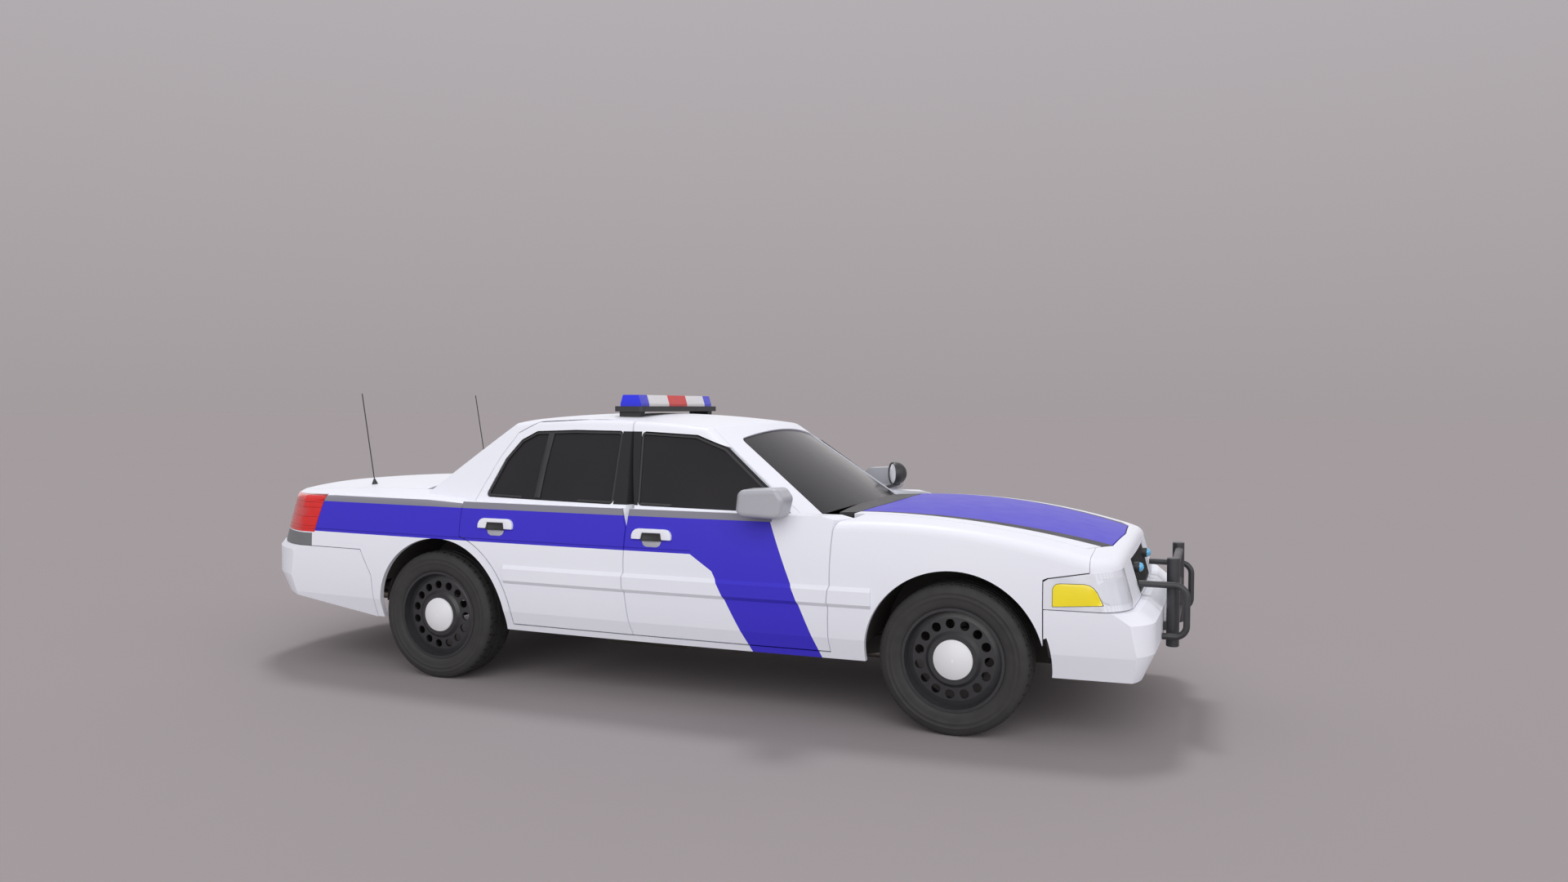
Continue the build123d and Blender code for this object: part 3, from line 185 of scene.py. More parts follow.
class Graph:
    """Short-hand for building one material's node tree on Object coordinates."""

    def __init__(self, name: str) -> None:
        """Starts a material with a Principled shader.

        Args:
            name: Name of the new material.
        """
        self.material = bpy.data.materials.new(name)
        self.material.use_nodes = True
        self.tree = self.material.node_tree
        self.shader = self.tree.nodes["Principled BSDF"]
        self.coords = self.tree.nodes.new("ShaderNodeTexCoord").outputs["Object"]
        split = self.tree.nodes.new("ShaderNodeSeparateXYZ")
        self.tree.links.new(self.coords, split.inputs[0])
        self.x, self.y, self.z = split.outputs

    def plug(self, socket: Socket, value: Socket | Colour | float) -> None:
        """Links a socket to another one, or sets a plain value on it.

        Args:
            socket: The socket to fill.
            value: Plain value or socket.
        """
        if isinstance(value, Socket):
            self.tree.links.new(value, socket)
        else:
            socket.default_value = value

    def feed(self, name: str, value: Socket | Colour | float) -> None:
        """Sets or links one of the shader's sockets."""
        self.plug(self.shader.inputs[name], value)

    def math(self, operation: str, first: Socket | float, second: Socket | float = 0.0) -> Socket:
        """Adds a Math node.

        Args:
            operation: Name of the operation.
            first: First value or socket.
            second: Second value or socket.

        Returns:
            The node's value.
        """
        node = self.tree.nodes.new("ShaderNodeMath")
        node.operation = operation
        for socket, value in zip(node.inputs, (first, second)):
            self.plug(socket, value)
        return node.outputs[0]

    def both(self, *masks: Socket) -> Socket:
        """Overlap of several masks."""
        return reduce(partial(self.math, "MULTIPLY"), masks)

    def either(self, *masks: Socket) -> Socket:
        """Union of several masks."""
        return reduce(partial(self.math, "MAXIMUM"), masks)

    def above(self, value: Socket, edge: Socket | float) -> Socket:
        """Mask of where a value is over an edge."""
        return self.math("GREATER_THAN", value, edge)

    def below(self, value: Socket, edge: Socket | float) -> Socket:
        """Mask of where a value is under an edge."""
        return self.math("LESS_THAN", value, edge)

    def between(self, value: Socket, low: float, high: float) -> Socket:
        """Mask of where a value is inside a band."""
        return self.both(self.above(value, low), self.below(value, high))

    def line(self, value: Socket, slope: float, offset: float) -> Socket:
        """Straight line of a value: slope times value plus offset."""
        return self.math("ADD", self.math("MULTIPLY", value, slope), offset)

    def square(self, value: Socket) -> Socket:
        """A value times itself."""
        return self.math("MULTIPLY", value, value)

    def sag(self, value: Socket, radius: float) -> Socket:
        """Drop of a shallow arc at a distance from its middle."""
        return self.math("MULTIPLY", self.square(value), 0.5 / radius)

    def ahead(self) -> Socket:
        """Distance ahead of the front axle."""
        return self.math("SUBTRACT", self.x, FRONT_AXLE_X)

    def across(self) -> Socket:
        """Distance from the middle of the car."""
        return self.math("ABSOLUTE", self.y)

    def from_axle(self, axle: Axle) -> Socket:
        """Works out the distance from the line that a pair of wheels turns about.

        Args:
            axle: Which pair of wheels.

        Returns:
            The distance.
        """
        run = self.math("SUBTRACT", self.x, axle.value)
        rise = self.math("SUBTRACT", self.z, WHEEL_Z)
        return self.math("SQRT", self.math("ADD", self.square(run), self.square(rise)))

    def noise(self, scale: float, detail: float = 4.0) -> Socket:
        """Adds fractal noise on Object coordinates.

        Args:
            scale: Size of the pattern, in cells per metre.
            detail: Number of octaves.

        Returns:
            The noise value.
        """
        node = self.tree.nodes.new("ShaderNodeTexNoise")
        node.inputs["Scale"].default_value = scale
        node.inputs["Detail"].default_value = detail
        self.tree.links.new(self.coords, node.inputs["Vector"])
        return node.outputs["Fac"]

    def waves(self, axis: str, scale: float) -> Socket:
        """Adds even ribs along an axis.

        Args:
            axis: X, Y or Z.
            scale: Density of the ribs.

        Returns:
            The wave value.
        """
        node = self.tree.nodes.new("ShaderNodeTexWave")
        node.bands_direction = axis
        node.inputs["Scale"].default_value = scale
        self.tree.links.new(self.coords, node.inputs["Vector"])
        return node.outputs["Fac"]

    def mix(self, factor: Socket, first: Socket | Colour, second: Socket | Colour) -> Socket:
        """Mixes two colours.

        Args:
            factor: Share of the second colour.
            first: First colour or socket.
            second: Second colour or socket.

        Returns:
            The mixed colour.
        """
        node = self.tree.nodes.new("ShaderNodeMix")
        node.data_type = "RGBA"
        for index, value in ((MIX_FACTOR, factor), (MIX_FIRST, first), (MIX_SECOND, second)):
            self.plug(node.inputs[index], value)
        return node.outputs[MIX_RESULT]

    def ramp(self, factor: Socket, low: float, high: float) -> Socket:
        """Maps a value between nought and one onto a range.

        Args:
            factor: Value to map.
            low: Result at nought.
            high: Result at one.

        Returns:
            The mapped value.
        """
        node = self.tree.nodes.new("ShaderNodeMapRange")
        self.tree.links.new(factor, node.inputs[0])
        node.inputs[RANGE_LOW].default_value = low
        node.inputs[RANGE_HIGH].default_value = high
        return node.outputs[0]

    def bump(self, height: Socket, strength: float, depth: float) -> None:
        """Gives the shader a bump.

        Args:
            height: Height of the surface.
            strength: Share of the bump.
            depth: Height of one unit, in metres.
        """
        node = self.tree.nodes.new("ShaderNodeBump")
        node.inputs["Strength"].default_value = strength
        node.inputs["Distance"].default_value = depth
        self.tree.links.new(height, node.inputs["Height"])
        self.tree.links.new(node.outputs[0], self.shader.inputs["Normal"])


@dataclass(frozen=True)
class SlantEdge:
    """Straight edge of a painted field: its slope along the height, and one point of it."""

    slope: float
    station: float
    height: float

    def at(self, graph: Graph) -> Socket:
        """Distance of the edge ahead of the front axle, at each height."""
        return graph.line(graph.z, self.slope, self.station - self.slope * self.height)


@dataclass(frozen=True)
class BodyPaint:
    """White body paint with the blue side stripe, the grey belt line and the dark centre posts."""

    white: Colour = (0.80, 0.82, 0.88, 1.0)
    shade: Colour = (0.76, 0.785, 0.86, 1.0)
    blue: Colour = (0.048, 0.034, 0.55, 1.0)
    navy: Colour = (0.026, 0.018, 0.34, 1.0)
    grey: Colour = (0.23, 0.23, 0.27, 1.0)
    post: Colour = (0.022, 0.022, 0.024, 1.0)
    foot: Colour = (0.17, 0.18, 0.19, 1.0)
    patch: float = 1.2
    small_patch: float = 6.0
    rough: Pair = (0.36, 0.48)
    rough_patch: float = 9.0
    gloss: float = 0.18
    coat: float = 0.03
    coat_rough: float = 0.08
    peel: float = 420.0
    peel_share: float = 0.02
    peel_depth: float = 0.0004
    band: Pair = (0.790, 0.965)
    belt: Pair = (0.965, 0.9995)
    belt_end: float = -0.885
    line: Pair = (0.803, 0.808)
    line_end: float = -1.31
    tail_end: float = -3.82
    sweep_front: SlantEdge = SlantEdge(-0.398, -0.885, 0.945)
    sweep_low: SlantEdge = SlantEdge(-0.496, -0.995, 0.316)
    sweep_knee: SlantEdge = SlantEdge(-1.526, -1.191, 0.711)
    post_front: SlantEdge = SlantEdge(-0.2328, -1.640, 1.014)
    post_rear: SlantEdge = SlantEdge(-0.1508, -1.785, 1.014)
    post_band: Pair = (1.016, 1.390)
    foot_band: Pair = (0.702, 0.777)
    foot_end: float = -3.797
    foot_inner: float = 0.45
    tuck: Pair = (-0.10, 0.078)
    skin_depth: float = 0.012

    def skin_mask(self, graph: Graph) -> Socket:
        """Finds the outer skin of the body sides, so that door ends and insides stay white.

        Args:
            graph: Node tree to add to.

        Returns:
            The mask.
        """
        y, mid, radius = circle_through(*BODY.side_arc)
        by_height = graph.sag(graph.math("SUBTRACT", graph.z, mid), radius)
        by_length = graph.sag(graph.x, BODY.side_plan)
        tuck = graph.math("MAXIMUM", graph.line(graph.z, *self.tuck), 0.0)
        inward = graph.math("ADD", graph.math("ADD", by_height, by_length), tuck)
        return graph.above(graph.math("ADD", graph.across(), inward), y + radius - self.skin_depth)

    def stripe_masks(self, graph: Graph) -> tuple[Socket, Socket, Socket]:
        """Works out where the stripe, its fine line and the belt line lie.

        Args:
            graph: Node tree to add to.

        Returns:
            Masks of the blue stripe, of the darker line in it and of the grey belt line.
        """
        a = graph.ahead()
        outside = self.skin_mask(graph)
        front = graph.below(a, self.sweep_front.at(graph))
        band = graph.both(graph.between(graph.z, *self.band), graph.above(a, self.tail_end))
        rear = graph.above(a, graph.math("MINIMUM", self.sweep_low.at(graph), self.sweep_knee.at(graph)))
        sweep = graph.both(rear, graph.below(graph.z, self.band[1]))
        stripe = graph.both(outside, front, graph.either(band, sweep))
        behind_knee = graph.below(a, self.line_end)
        line = graph.both(stripe, behind_knee, graph.between(graph.z, *self.line))
        reach = graph.between(a, self.tail_end, self.belt_end)
        belt = graph.both(outside, graph.between(graph.z, *self.belt), reach)
        return stripe, line, belt

    def post_mask(self, graph: Graph) -> Socket:
        """Finds the dark posts between the side windows.

        Args:
            graph: Node tree to add to.

        Returns:
            The mask.
        """
        a = graph.ahead()
        front = graph.below(a, self.post_front.at(graph))
        rear = graph.above(a, self.post_rear.at(graph))
        return graph.both(front, rear, graph.between(graph.z, *self.post_band))

    def foot_mask(self, graph: Graph) -> Socket:
        """Finds the grey foot under each tail lamp.

        Args:
            graph: Node tree to add to.

        Returns:
            The mask.
        """
        outside = graph.above(graph.across(), self.foot_inner)
        behind = graph.below(graph.ahead(), self.foot_end)
        return graph.both(outside, behind, graph.between(graph.z, *self.foot_band))

    def finish_coat(self, graph: Graph) -> None:
        """Gives the shader the gloss and the faint unevenness of sprayed paint.

        Args:
            graph: Node tree to add to.
        """
        graph.feed("Roughness", graph.ramp(graph.noise(self.rough_patch), *self.rough))
        graph.feed("Specular IOR Level", self.gloss)
        graph.feed("Coat Weight", self.coat)
        graph.feed("Coat Roughness", self.coat_rough)
        graph.bump(graph.noise(self.peel, detail=2.0), self.peel_share, self.peel_depth)

    def make(self) -> Material:
        """Builds the paint.

        Returns:
            The material.
        """
        graph = Graph("body_paint")
        stripe, line, belt = self.stripe_masks(graph)
        colour = graph.mix(graph.noise(self.patch), self.white, self.shade)
        layers = ((stripe, self.blue), (line, self.navy), (belt, self.grey),
                  (self.post_mask(graph), self.post), (self.foot_mask(graph), self.foot))
        for mask, layer in layers:
            colour = graph.mix(mask, colour, layer)
        graph.feed("Base Color", colour)
        self.finish_coat(graph)
        return graph.material

    def make_plain(self) -> Material:
        """Builds the white alone, for small painted pieces.

        Returns:
            The material.
        """
        graph = Graph("plain_white")
        graph.feed("Base Color", graph.mix(graph.noise(self.small_patch), self.white, self.shade))
        self.finish_coat(graph)
        return graph.material


@dataclass(frozen=True)
class HoodPaint:
    """White hood with the blue panel and dark borders painted as the shade on the flanks of its raised
    middle.
    """

    base: BodyPaint = BodyPaint()
    half_width: float = 0.606
    taper: float = -0.10
    bow: float = -0.16
    # Width and taper of the painted shade along each flank of the raised middle, and its colour.
    border: float = 0.052
    border_taper: float = 0.080
    border_colour: Colour = (0.022, 0.022, 0.030, 1.0)
    line: Outline = ((1.140, 1.022), (1.812, 0.998), (2.356, 0.890))
    crown: float = 9.0
    depth: float = 0.010

    def top_mask(self, graph: Graph) -> Socket:
        """Finds the hood's upper face, so that its underside stays white.

        Args:
            graph: Node tree to add to.

        Returns:
            The mask.
        """
        x, z, radius = circle_through(*self.line)
        run = graph.math("SUBTRACT", graph.x, x)
        reach = graph.math("SUBTRACT", radius ** 2, graph.square(run))
        top = graph.math("SUBTRACT", graph.math("SQRT", reach), graph.sag(graph.y, self.crown))
        return graph.above(graph.math("SUBTRACT", graph.z, top), z - self.depth)

    def panel(self, graph: Graph, taper: float, half_width: float) -> Socket:
        """Mask of a panel along the middle of the hood.

        Args:
            graph: Node tree to add to.
            taper: Change of its half-width along the car.
            half_width: Half-width at the front axle.

        Returns:
            The mask.
        """
        a = graph.ahead()
        widening = graph.math("MULTIPLY", a, graph.line(a, self.bow, taper))
        return graph.below(graph.across(), graph.math("ADD", widening, half_width))

    def make(self) -> Material:
        """Builds the paint.

        Returns:
            The material.
        """
        graph = Graph("hood_paint")
        ground = graph.mix(graph.noise(self.base.patch), self.base.white, self.base.shade)
        top = self.top_mask(graph)
        # Painted shade: a dark band along each side of the blue panel, where the flank of the raised middle
        # lies in shade.
        border = self.panel(graph, self.taper + self.border_taper, self.half_width + self.border)
        colour = graph.mix(graph.both(top, border), ground, self.border_colour)
        middle = graph.both(top, self.panel(graph, self.taper, self.half_width))
        graph.feed("Base Color", graph.mix(middle, colour, self.base.blue))
        self.base.finish_coat(graph)
        return graph.material


@dataclass(frozen=True)
class PlainFinish:
    """One finish with gentle variation of colour and roughness and a fine bump."""

    name: str
    colour: Colour
    deep: Colour
    rough: Pair
    grain: float
    bump: float
    metal: float = 0.0
    coat: float = 0.0
    patch: float = 14.0
    rough_patch: float = 26.0
    depth: float = 0.0008

    def make(self) -> Material:
        """Builds the finish.

        Returns:
            The material.
        """
        graph = Graph(self.name)
        graph.feed("Base Color", graph.mix(graph.noise(self.patch), self.colour, self.deep))
        graph.feed("Roughness", graph.ramp(graph.noise(self.rough_patch), *self.rough))
        graph.feed("Metallic", self.metal)
        graph.feed("Coat Weight", self.coat)
        graph.bump(graph.noise(self.grain, detail=3.0), self.bump, self.depth)
        return graph.material


@dataclass(frozen=True)
class TintedGlass:
    """Dark tinted window glass."""

    colour: Colour = (0.035, 0.034, 0.038, 1.0)
    deep: Colour = (0.022, 0.022, 0.025, 1.0)
    patch: float = 2.0
    rough: Pair = (0.16, 0.24)
    rough_patch: float = 5.0
    clear: float = 0.25
    gloss: float = 0.12
    bend: float = 1.45

    def make(self) -> Material:
        """Builds the glass.

        Returns:
            The material.
        """
        graph = Graph("tinted_glass")
        graph.feed("Base Color", graph.mix(graph.noise(self.patch), self.colour, self.deep))
        graph.feed("Roughness", graph.ramp(graph.noise(self.rough_patch), *self.rough))
        graph.feed("Transmission Weight", self.clear)
        graph.feed("Specular IOR Level", self.gloss)
        graph.feed("IOR", self.bend)
        return graph.material


@dataclass(frozen=True)
class RibbedLens:
    """Moulded lamp lens with even ribs, its colour swinging between crest and groove as painted light and
    shade across the ribs.
    """

    name: str
    # Colours at the rib crests and in the grooves, painted light and shade across the ribs.
    crest: Colour
    groove: Colour
    axis: str
    ribs: float
    rough: Pair = (0.12, 0.22)
    rough_patch: float = 8.0
    coat: float = 0.4
    bump: float = 0.6
    depth: float = 0.0015

    def make(self) -> Material:
        """Builds the lens.

        Returns:
            The material.
        """
        graph = Graph(self.name)
        ribs = graph.waves(self.axis, self.ribs)
        # Painted light and shade: the colour follows the rib height, like the bump.
        graph.feed("Base Color", graph.mix(ribs, self.groove, self.crest))
        graph.feed("Roughness", graph.ramp(graph.noise(self.rough_patch), *self.rough))
        graph.feed("Coat Weight", self.coat)
        graph.bump(ribs, self.bump, self.depth)
        return graph.material


@dataclass(frozen=True)
class WheelFinish:
    """Black steel rim with a white hub cap, told apart by the distance from the axle line."""

    axle: Axle
    black: Colour = (0.018, 0.018, 0.020, 1.0)
    worn: Colour = (0.035, 0.035, 0.038, 1.0)
    patch: float = 30.0
    cap: Colour = (0.72, 0.73, 0.75, 1.0)
    cap_radius: float = 0.0935
    face_y: float = 0.886
    rough: Pair = (0.30, 0.45)
    rough_patch: float = 40.0
    grain: float = 500.0
    bump: float = 0.08
    depth: float = 0.0006

    def make(self) -> Material:
        """Builds the finish.

        Returns:
            The material.
        """
        graph = Graph(f"wheel_{self.axle.word}")
        near = graph.below(graph.from_axle(self.axle), self.cap_radius)
        cap = graph.both(near, graph.above(graph.across(), self.face_y))
        steel = graph.mix(graph.noise(self.patch), self.black, self.worn)
        graph.feed("Base Color", graph.mix(cap, steel, self.cap))
        graph.feed("Roughness", graph.ramp(graph.noise(self.rough_patch), *self.rough))
        graph.bump(graph.noise(self.grain, detail=2.0), self.bump, self.depth)
        return graph.material


@dataclass(frozen=True)
class TyreRubber:
    """Dark rubber with fine rings on the side walls."""

    axle: Axle
    colour: Colour = (0.018, 0.018, 0.019, 1.0)
    dusty: Colour = (0.034, 0.033, 0.032, 1.0)
    patch: float = 18.0
    rough: Pair = (0.62, 0.80)
    rough_patch: float = 22.0
    rings: float = 130.0
    bump: float = 0.12
    depth: float = 0.0006

    def make(self) -> Material:
        """Builds the rubber.

        Returns:
            The material.
        """
        graph = Graph(f"tyre_{self.axle.word}")
        turns = graph.math("MULTIPLY", graph.from_axle(self.axle), self.rings * FULL_TURN)
        graph.feed("Base Color", graph.mix(graph.noise(self.patch), self.colour, self.dusty))
        graph.feed("Roughness", graph.ramp(graph.noise(self.rough_patch), *self.rough))
        graph.bump(graph.math("SINE", turns), self.bump, self.depth)
        return graph.material


def deselect() -> None:
    """Leaves edit mode and clears the selection."""
    if bpy.context.object and bpy.context.object.mode != "OBJECT":
        bpy.ops.object.mode_set(mode="OBJECT")
    bpy.ops.object.select_all(action="DESELECT")


def activate(piece: Object) -> None:
    """Makes one piece the only selected object, in object mode.

    Args:
        piece: The piece to work on.
    """
    deselect()
    piece.select_set(True)
    bpy.context.view_layer.objects.active = piece


def edit_all(piece: Object) -> None:
    """Opens a piece in edit mode with everything selected.

    Args:
        piece: The piece to work on.
    """
    activate(piece)
    bpy.ops.object.mode_set(mode="EDIT")
    bpy.ops.mesh.select_all(action="SELECT")


def turn_outward(piece: Object) -> None:
    """Merges doubled points and makes every face point outwards.

    Args:
        piece: The piece to work on.
    """
    edit_all(piece)
    bpy.ops.mesh.remove_doubles(threshold=MERGE_DISTANCE)
    bpy.ops.mesh.normals_make_consistent(inside=False)
    deselect()


def start_picking(piece: Object, kind: str) -> None:
    """Clears the selection inside a piece, so that its elements can be picked in object mode.

    Args:
        piece: The piece to work on.
        kind: FACE or VERT.
    """
    edit_all(piece)
    bpy.ops.mesh.select_mode(type=kind)
    bpy.ops.mesh.select_all(action="DESELECT")
    bpy.ops.object.mode_set(mode="OBJECT")


def pick_faces(piece: Object, test: Test) -> None:
    """Selects the faces that pass a test and stays in edit mode.

    Args:
        piece: The piece to work on.
        test: Takes a face's centre and normal.
    """
    start_picking(piece, "FACE")
    for face in piece.data.polygons:
        face.select = test(face.center, face.normal)
    bpy.ops.object.mode_set(mode="EDIT")


def pick_points(piece: Object, test: Test) -> None:
    """Selects the points that pass a test and stays in edit mode.

    Args:
        piece: The piece to work on.
        test: Takes a point's place and normal.
    """
    start_picking(piece, "VERT")
    for point in piece.data.vertices:
        point.select = test(point.co, point.normal)
    bpy.ops.object.mode_set(mode="EDIT")


def traced(name: str, points: Sequence[Point]) -> Object:
    """Draws a line point by point, from one vertex, and stays in edit mode.

    Args:
        name: Name of the new piece.
        points: Places along the line.

    Returns:
        The new piece.
    """
    deselect()
    bpy.ops.mesh.primitive_plane_add(size=START_SIZE, location=points[0])
    piece = bpy.context.object
    piece.name = name
    piece.data.name = name
    bpy.ops.object.transform_apply(location=True, rotation=True, scale=True)
    bpy.ops.object.mode_set(mode="EDIT")
    bpy.ops.mesh.select_mode(type="VERT")
    bpy.ops.mesh.select_all(action="SELECT")
    bpy.ops.mesh.merge(type="CENTER")
    for here, there in zip(points, points[1:]):
        step = tuple(after - before for before, after in zip(here, there))
        bpy.ops.mesh.extrude_vertices_move(TRANSFORM_OT_translate={"value": step})
    bpy.ops.mesh.select_all(action="SELECT")
    return piece


def prism(name: str, points: Sequence[Point], push: Point) -> Object:
    """Fills an outline and extrudes it into a solid.

    Args:
        name: Name of the new piece.
        points: Corners of the outline.
        push: How far and which way the outline is carried.

    Returns:
        The new piece.
    """
    piece = traced(name, points)
    bpy.ops.mesh.edge_face_add()
    bpy.ops.mesh.extrude_region_move(TRANSFORM_OT_translate={"value": push})
    turn_outward(piece)
    return piece


def ring(name: str, points: Sequence[Point], width: float, push: Point) -> Object:
    """Makes a flat frame from an outline, inset by a width and given a thickness.

    Args:
        name: Name of the new piece.
        points: Corners of the outer edge.
        width: Width of the frame.
        push: Thickness of the frame.

    Returns:
        The new piece.
    """
    piece = traced(name, points)
    bpy.ops.mesh.edge_face_add()
    bpy.ops.mesh.inset(thickness=width)
    bpy.ops.mesh.delete(type="FACE")
    bpy.ops.mesh.select_all(action="SELECT")
    bpy.ops.mesh.extrude_region_move(TRANSFORM_OT_translate={"value": push})
    turn_outward(piece)
    return piece


def turned(name: str, profile: Sequence[Pair], centre: Vector, axis: Vector, steps: int) -> Object:
    """Spins a profile about an axis.

    Args:
        name: Name of the new piece.
        profile: Pairs of distance along the axis and radius; a closed loop repeats its first pair.
        centre: Point on the axis that distances are measured from.
        axis: Direction of the axis.
        steps: Number of steps round.

    Returns:
        The new piece.
    """
    axis = axis.normalized()
    across = axis.orthogonal().normalized()
    points = [tuple(centre + axis * along + across * radius) for along, radius in profile]
    piece = traced(name, points)
    bpy.ops.mesh.spin(steps=steps, angle=FULL_TURN, center=tuple(centre), axis=tuple(axis))
    turn_outward(piece)
    return piece


def copied(piece: Object, name: str, shift: Point = (0.0, 0.0, 0.0), flipped: bool = False) -> Object:
    """Copies a piece with its own mesh, moved and, if asked, mirrored across the car.

    Args:
        piece: The piece to copy.
        name: Name of the copy.
        shift: Move of the copy.
        flipped: Whether the copy is mirrored.

    Returns:
        The copy.
    """
    activate(piece)
    bpy.ops.object.duplicate(linked=False)
    twin = bpy.context.object
    twin.name = name
    twin.data.name = name
    twin.location = shift
    if flipped:
        twin.scale = (1.0, -1.0, 1.0)
    bpy.ops.object.transform_apply(location=True, rotation=True, scale=True)
    if flipped:
        edit_all(twin)
        bpy.ops.mesh.normals_make_consistent(inside=False)
        deselect()
    return twin


def slice_of(node: Object, name: str, cuts: Sequence[Cut]) -> Object:
    """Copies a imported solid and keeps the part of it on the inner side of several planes.

    Args:
        node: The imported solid.
        name: Name of the copy.
        cuts: Pairs of a point of a plane and the direction that is cut away.

    Returns:
        The copy.
    """
    piece = bpy.data.objects.new(name, node.data.copy())
    bpy.context.collection.objects.link(piece)
    piece.data.name = name
    edit_all(piece)
    bpy.ops.mesh.remove_doubles(threshold=MERGE_DISTANCE)
    for place, away in cuts:
        bpy.ops.mesh.select_all(action="SELECT")
        bpy.ops.mesh.bisect(plane_co=place, plane_no=away, use_fill=True, clear_outer=True)
    deselect()
    turn_outward(piece)
    return piece


def outline_cuts(points: Sequence[Point], along: Point, grow: float = 0.0) -> list[Cut]:
    """Planes along the edges of a convex outline that is carried along a direction.

    Args:
        points: Corners of the outline.
        along: Direction in which it is carried.
        grow: How far the planes stand outside the outline.

    Returns:
        Pairs of a point of a plane and the direction away from the outline.
    """
    cuts = []
    for here, there in zip(points, (*points[1:], points[0])):
        away = (Vector(there) - Vector(here)).cross(Vector(along)).normalized()
        cuts.append((tuple(Vector(here) + away * grow), tuple(away)))
    return cuts


def modify(piece: Object, kind: str, **settings: object) -> None:
    """Adds a modifier, sets it up and applies it.

    Args:
        piece: The piece to change.
        kind: Kind of modifier.
        settings: Values of the modifier.
    """
    activate(piece)
    bpy.ops.object.modifier_add(type=kind)
    modifier = piece.modifiers[-1]
    for key, value in settings.items():
        setattr(modifier, key, value)
    bpy.ops.object.modifier_apply(modifier=modifier.name)


def soften(piece: Object, width: float, segments: int = 2) -> None:
    """Rounds a piece's sharp edges."""
    limit = math.radians(SHARP_ANGLE)
    modify(piece, "BEVEL", width=width, segments=segments, limit_method="ANGLE", angle_limit=limit)


def fatten(amount: float) -> None:
    """Moves the selected points along their normals and leaves edit mode."""
    bpy.ops.transform.shrink_fatten(value=amount)
    deselect()


@dataclass(frozen=True)
class Place:
    """Where a finished piece belongs: its body, its slot, its finish and the nodes it stands for."""

    body: str
    slot: str
    finish: Material
    nodes: tuple[str, ...] = ()
    smooth: float = 32.0

    def put(self, piece: Object) -> None:
        """Shades a piece, gives it its finish and hands it over.

        Args:
            piece: The finished piece.
        """
        activate(piece)
        bpy.ops.object.shade_smooth_by_angle(angle=math.radians(self.smooth))
        piece.data.materials.clear()
        piece.data.materials.append(self.finish)
        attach(piece, self.body)
        if self.nodes:
            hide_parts(*self.nodes)
        LOG.info("%s rides on %s", piece.name, self.body)
        deselect()


def put_on_doors(piece: Object, axle: Axle, slot: str, finish: Material) -> None:
    """Hands a left-hand piece to its door and a mirrored copy to the other door.

    Args:
        piece: The finished left-hand piece.
        axle: Whether it belongs to the front or the rear doors.
        slot: Slot of the finish.
        finish: Its finish.
    """
    twin = copied(piece, piece.name.replace("left", "right"), flipped=True)
    for side, item in ((Side.LEFT, piece), (Side.RIGHT, twin)):
        Place(f"{axle.word}_{side.word}_door", slot, finish).put(item)


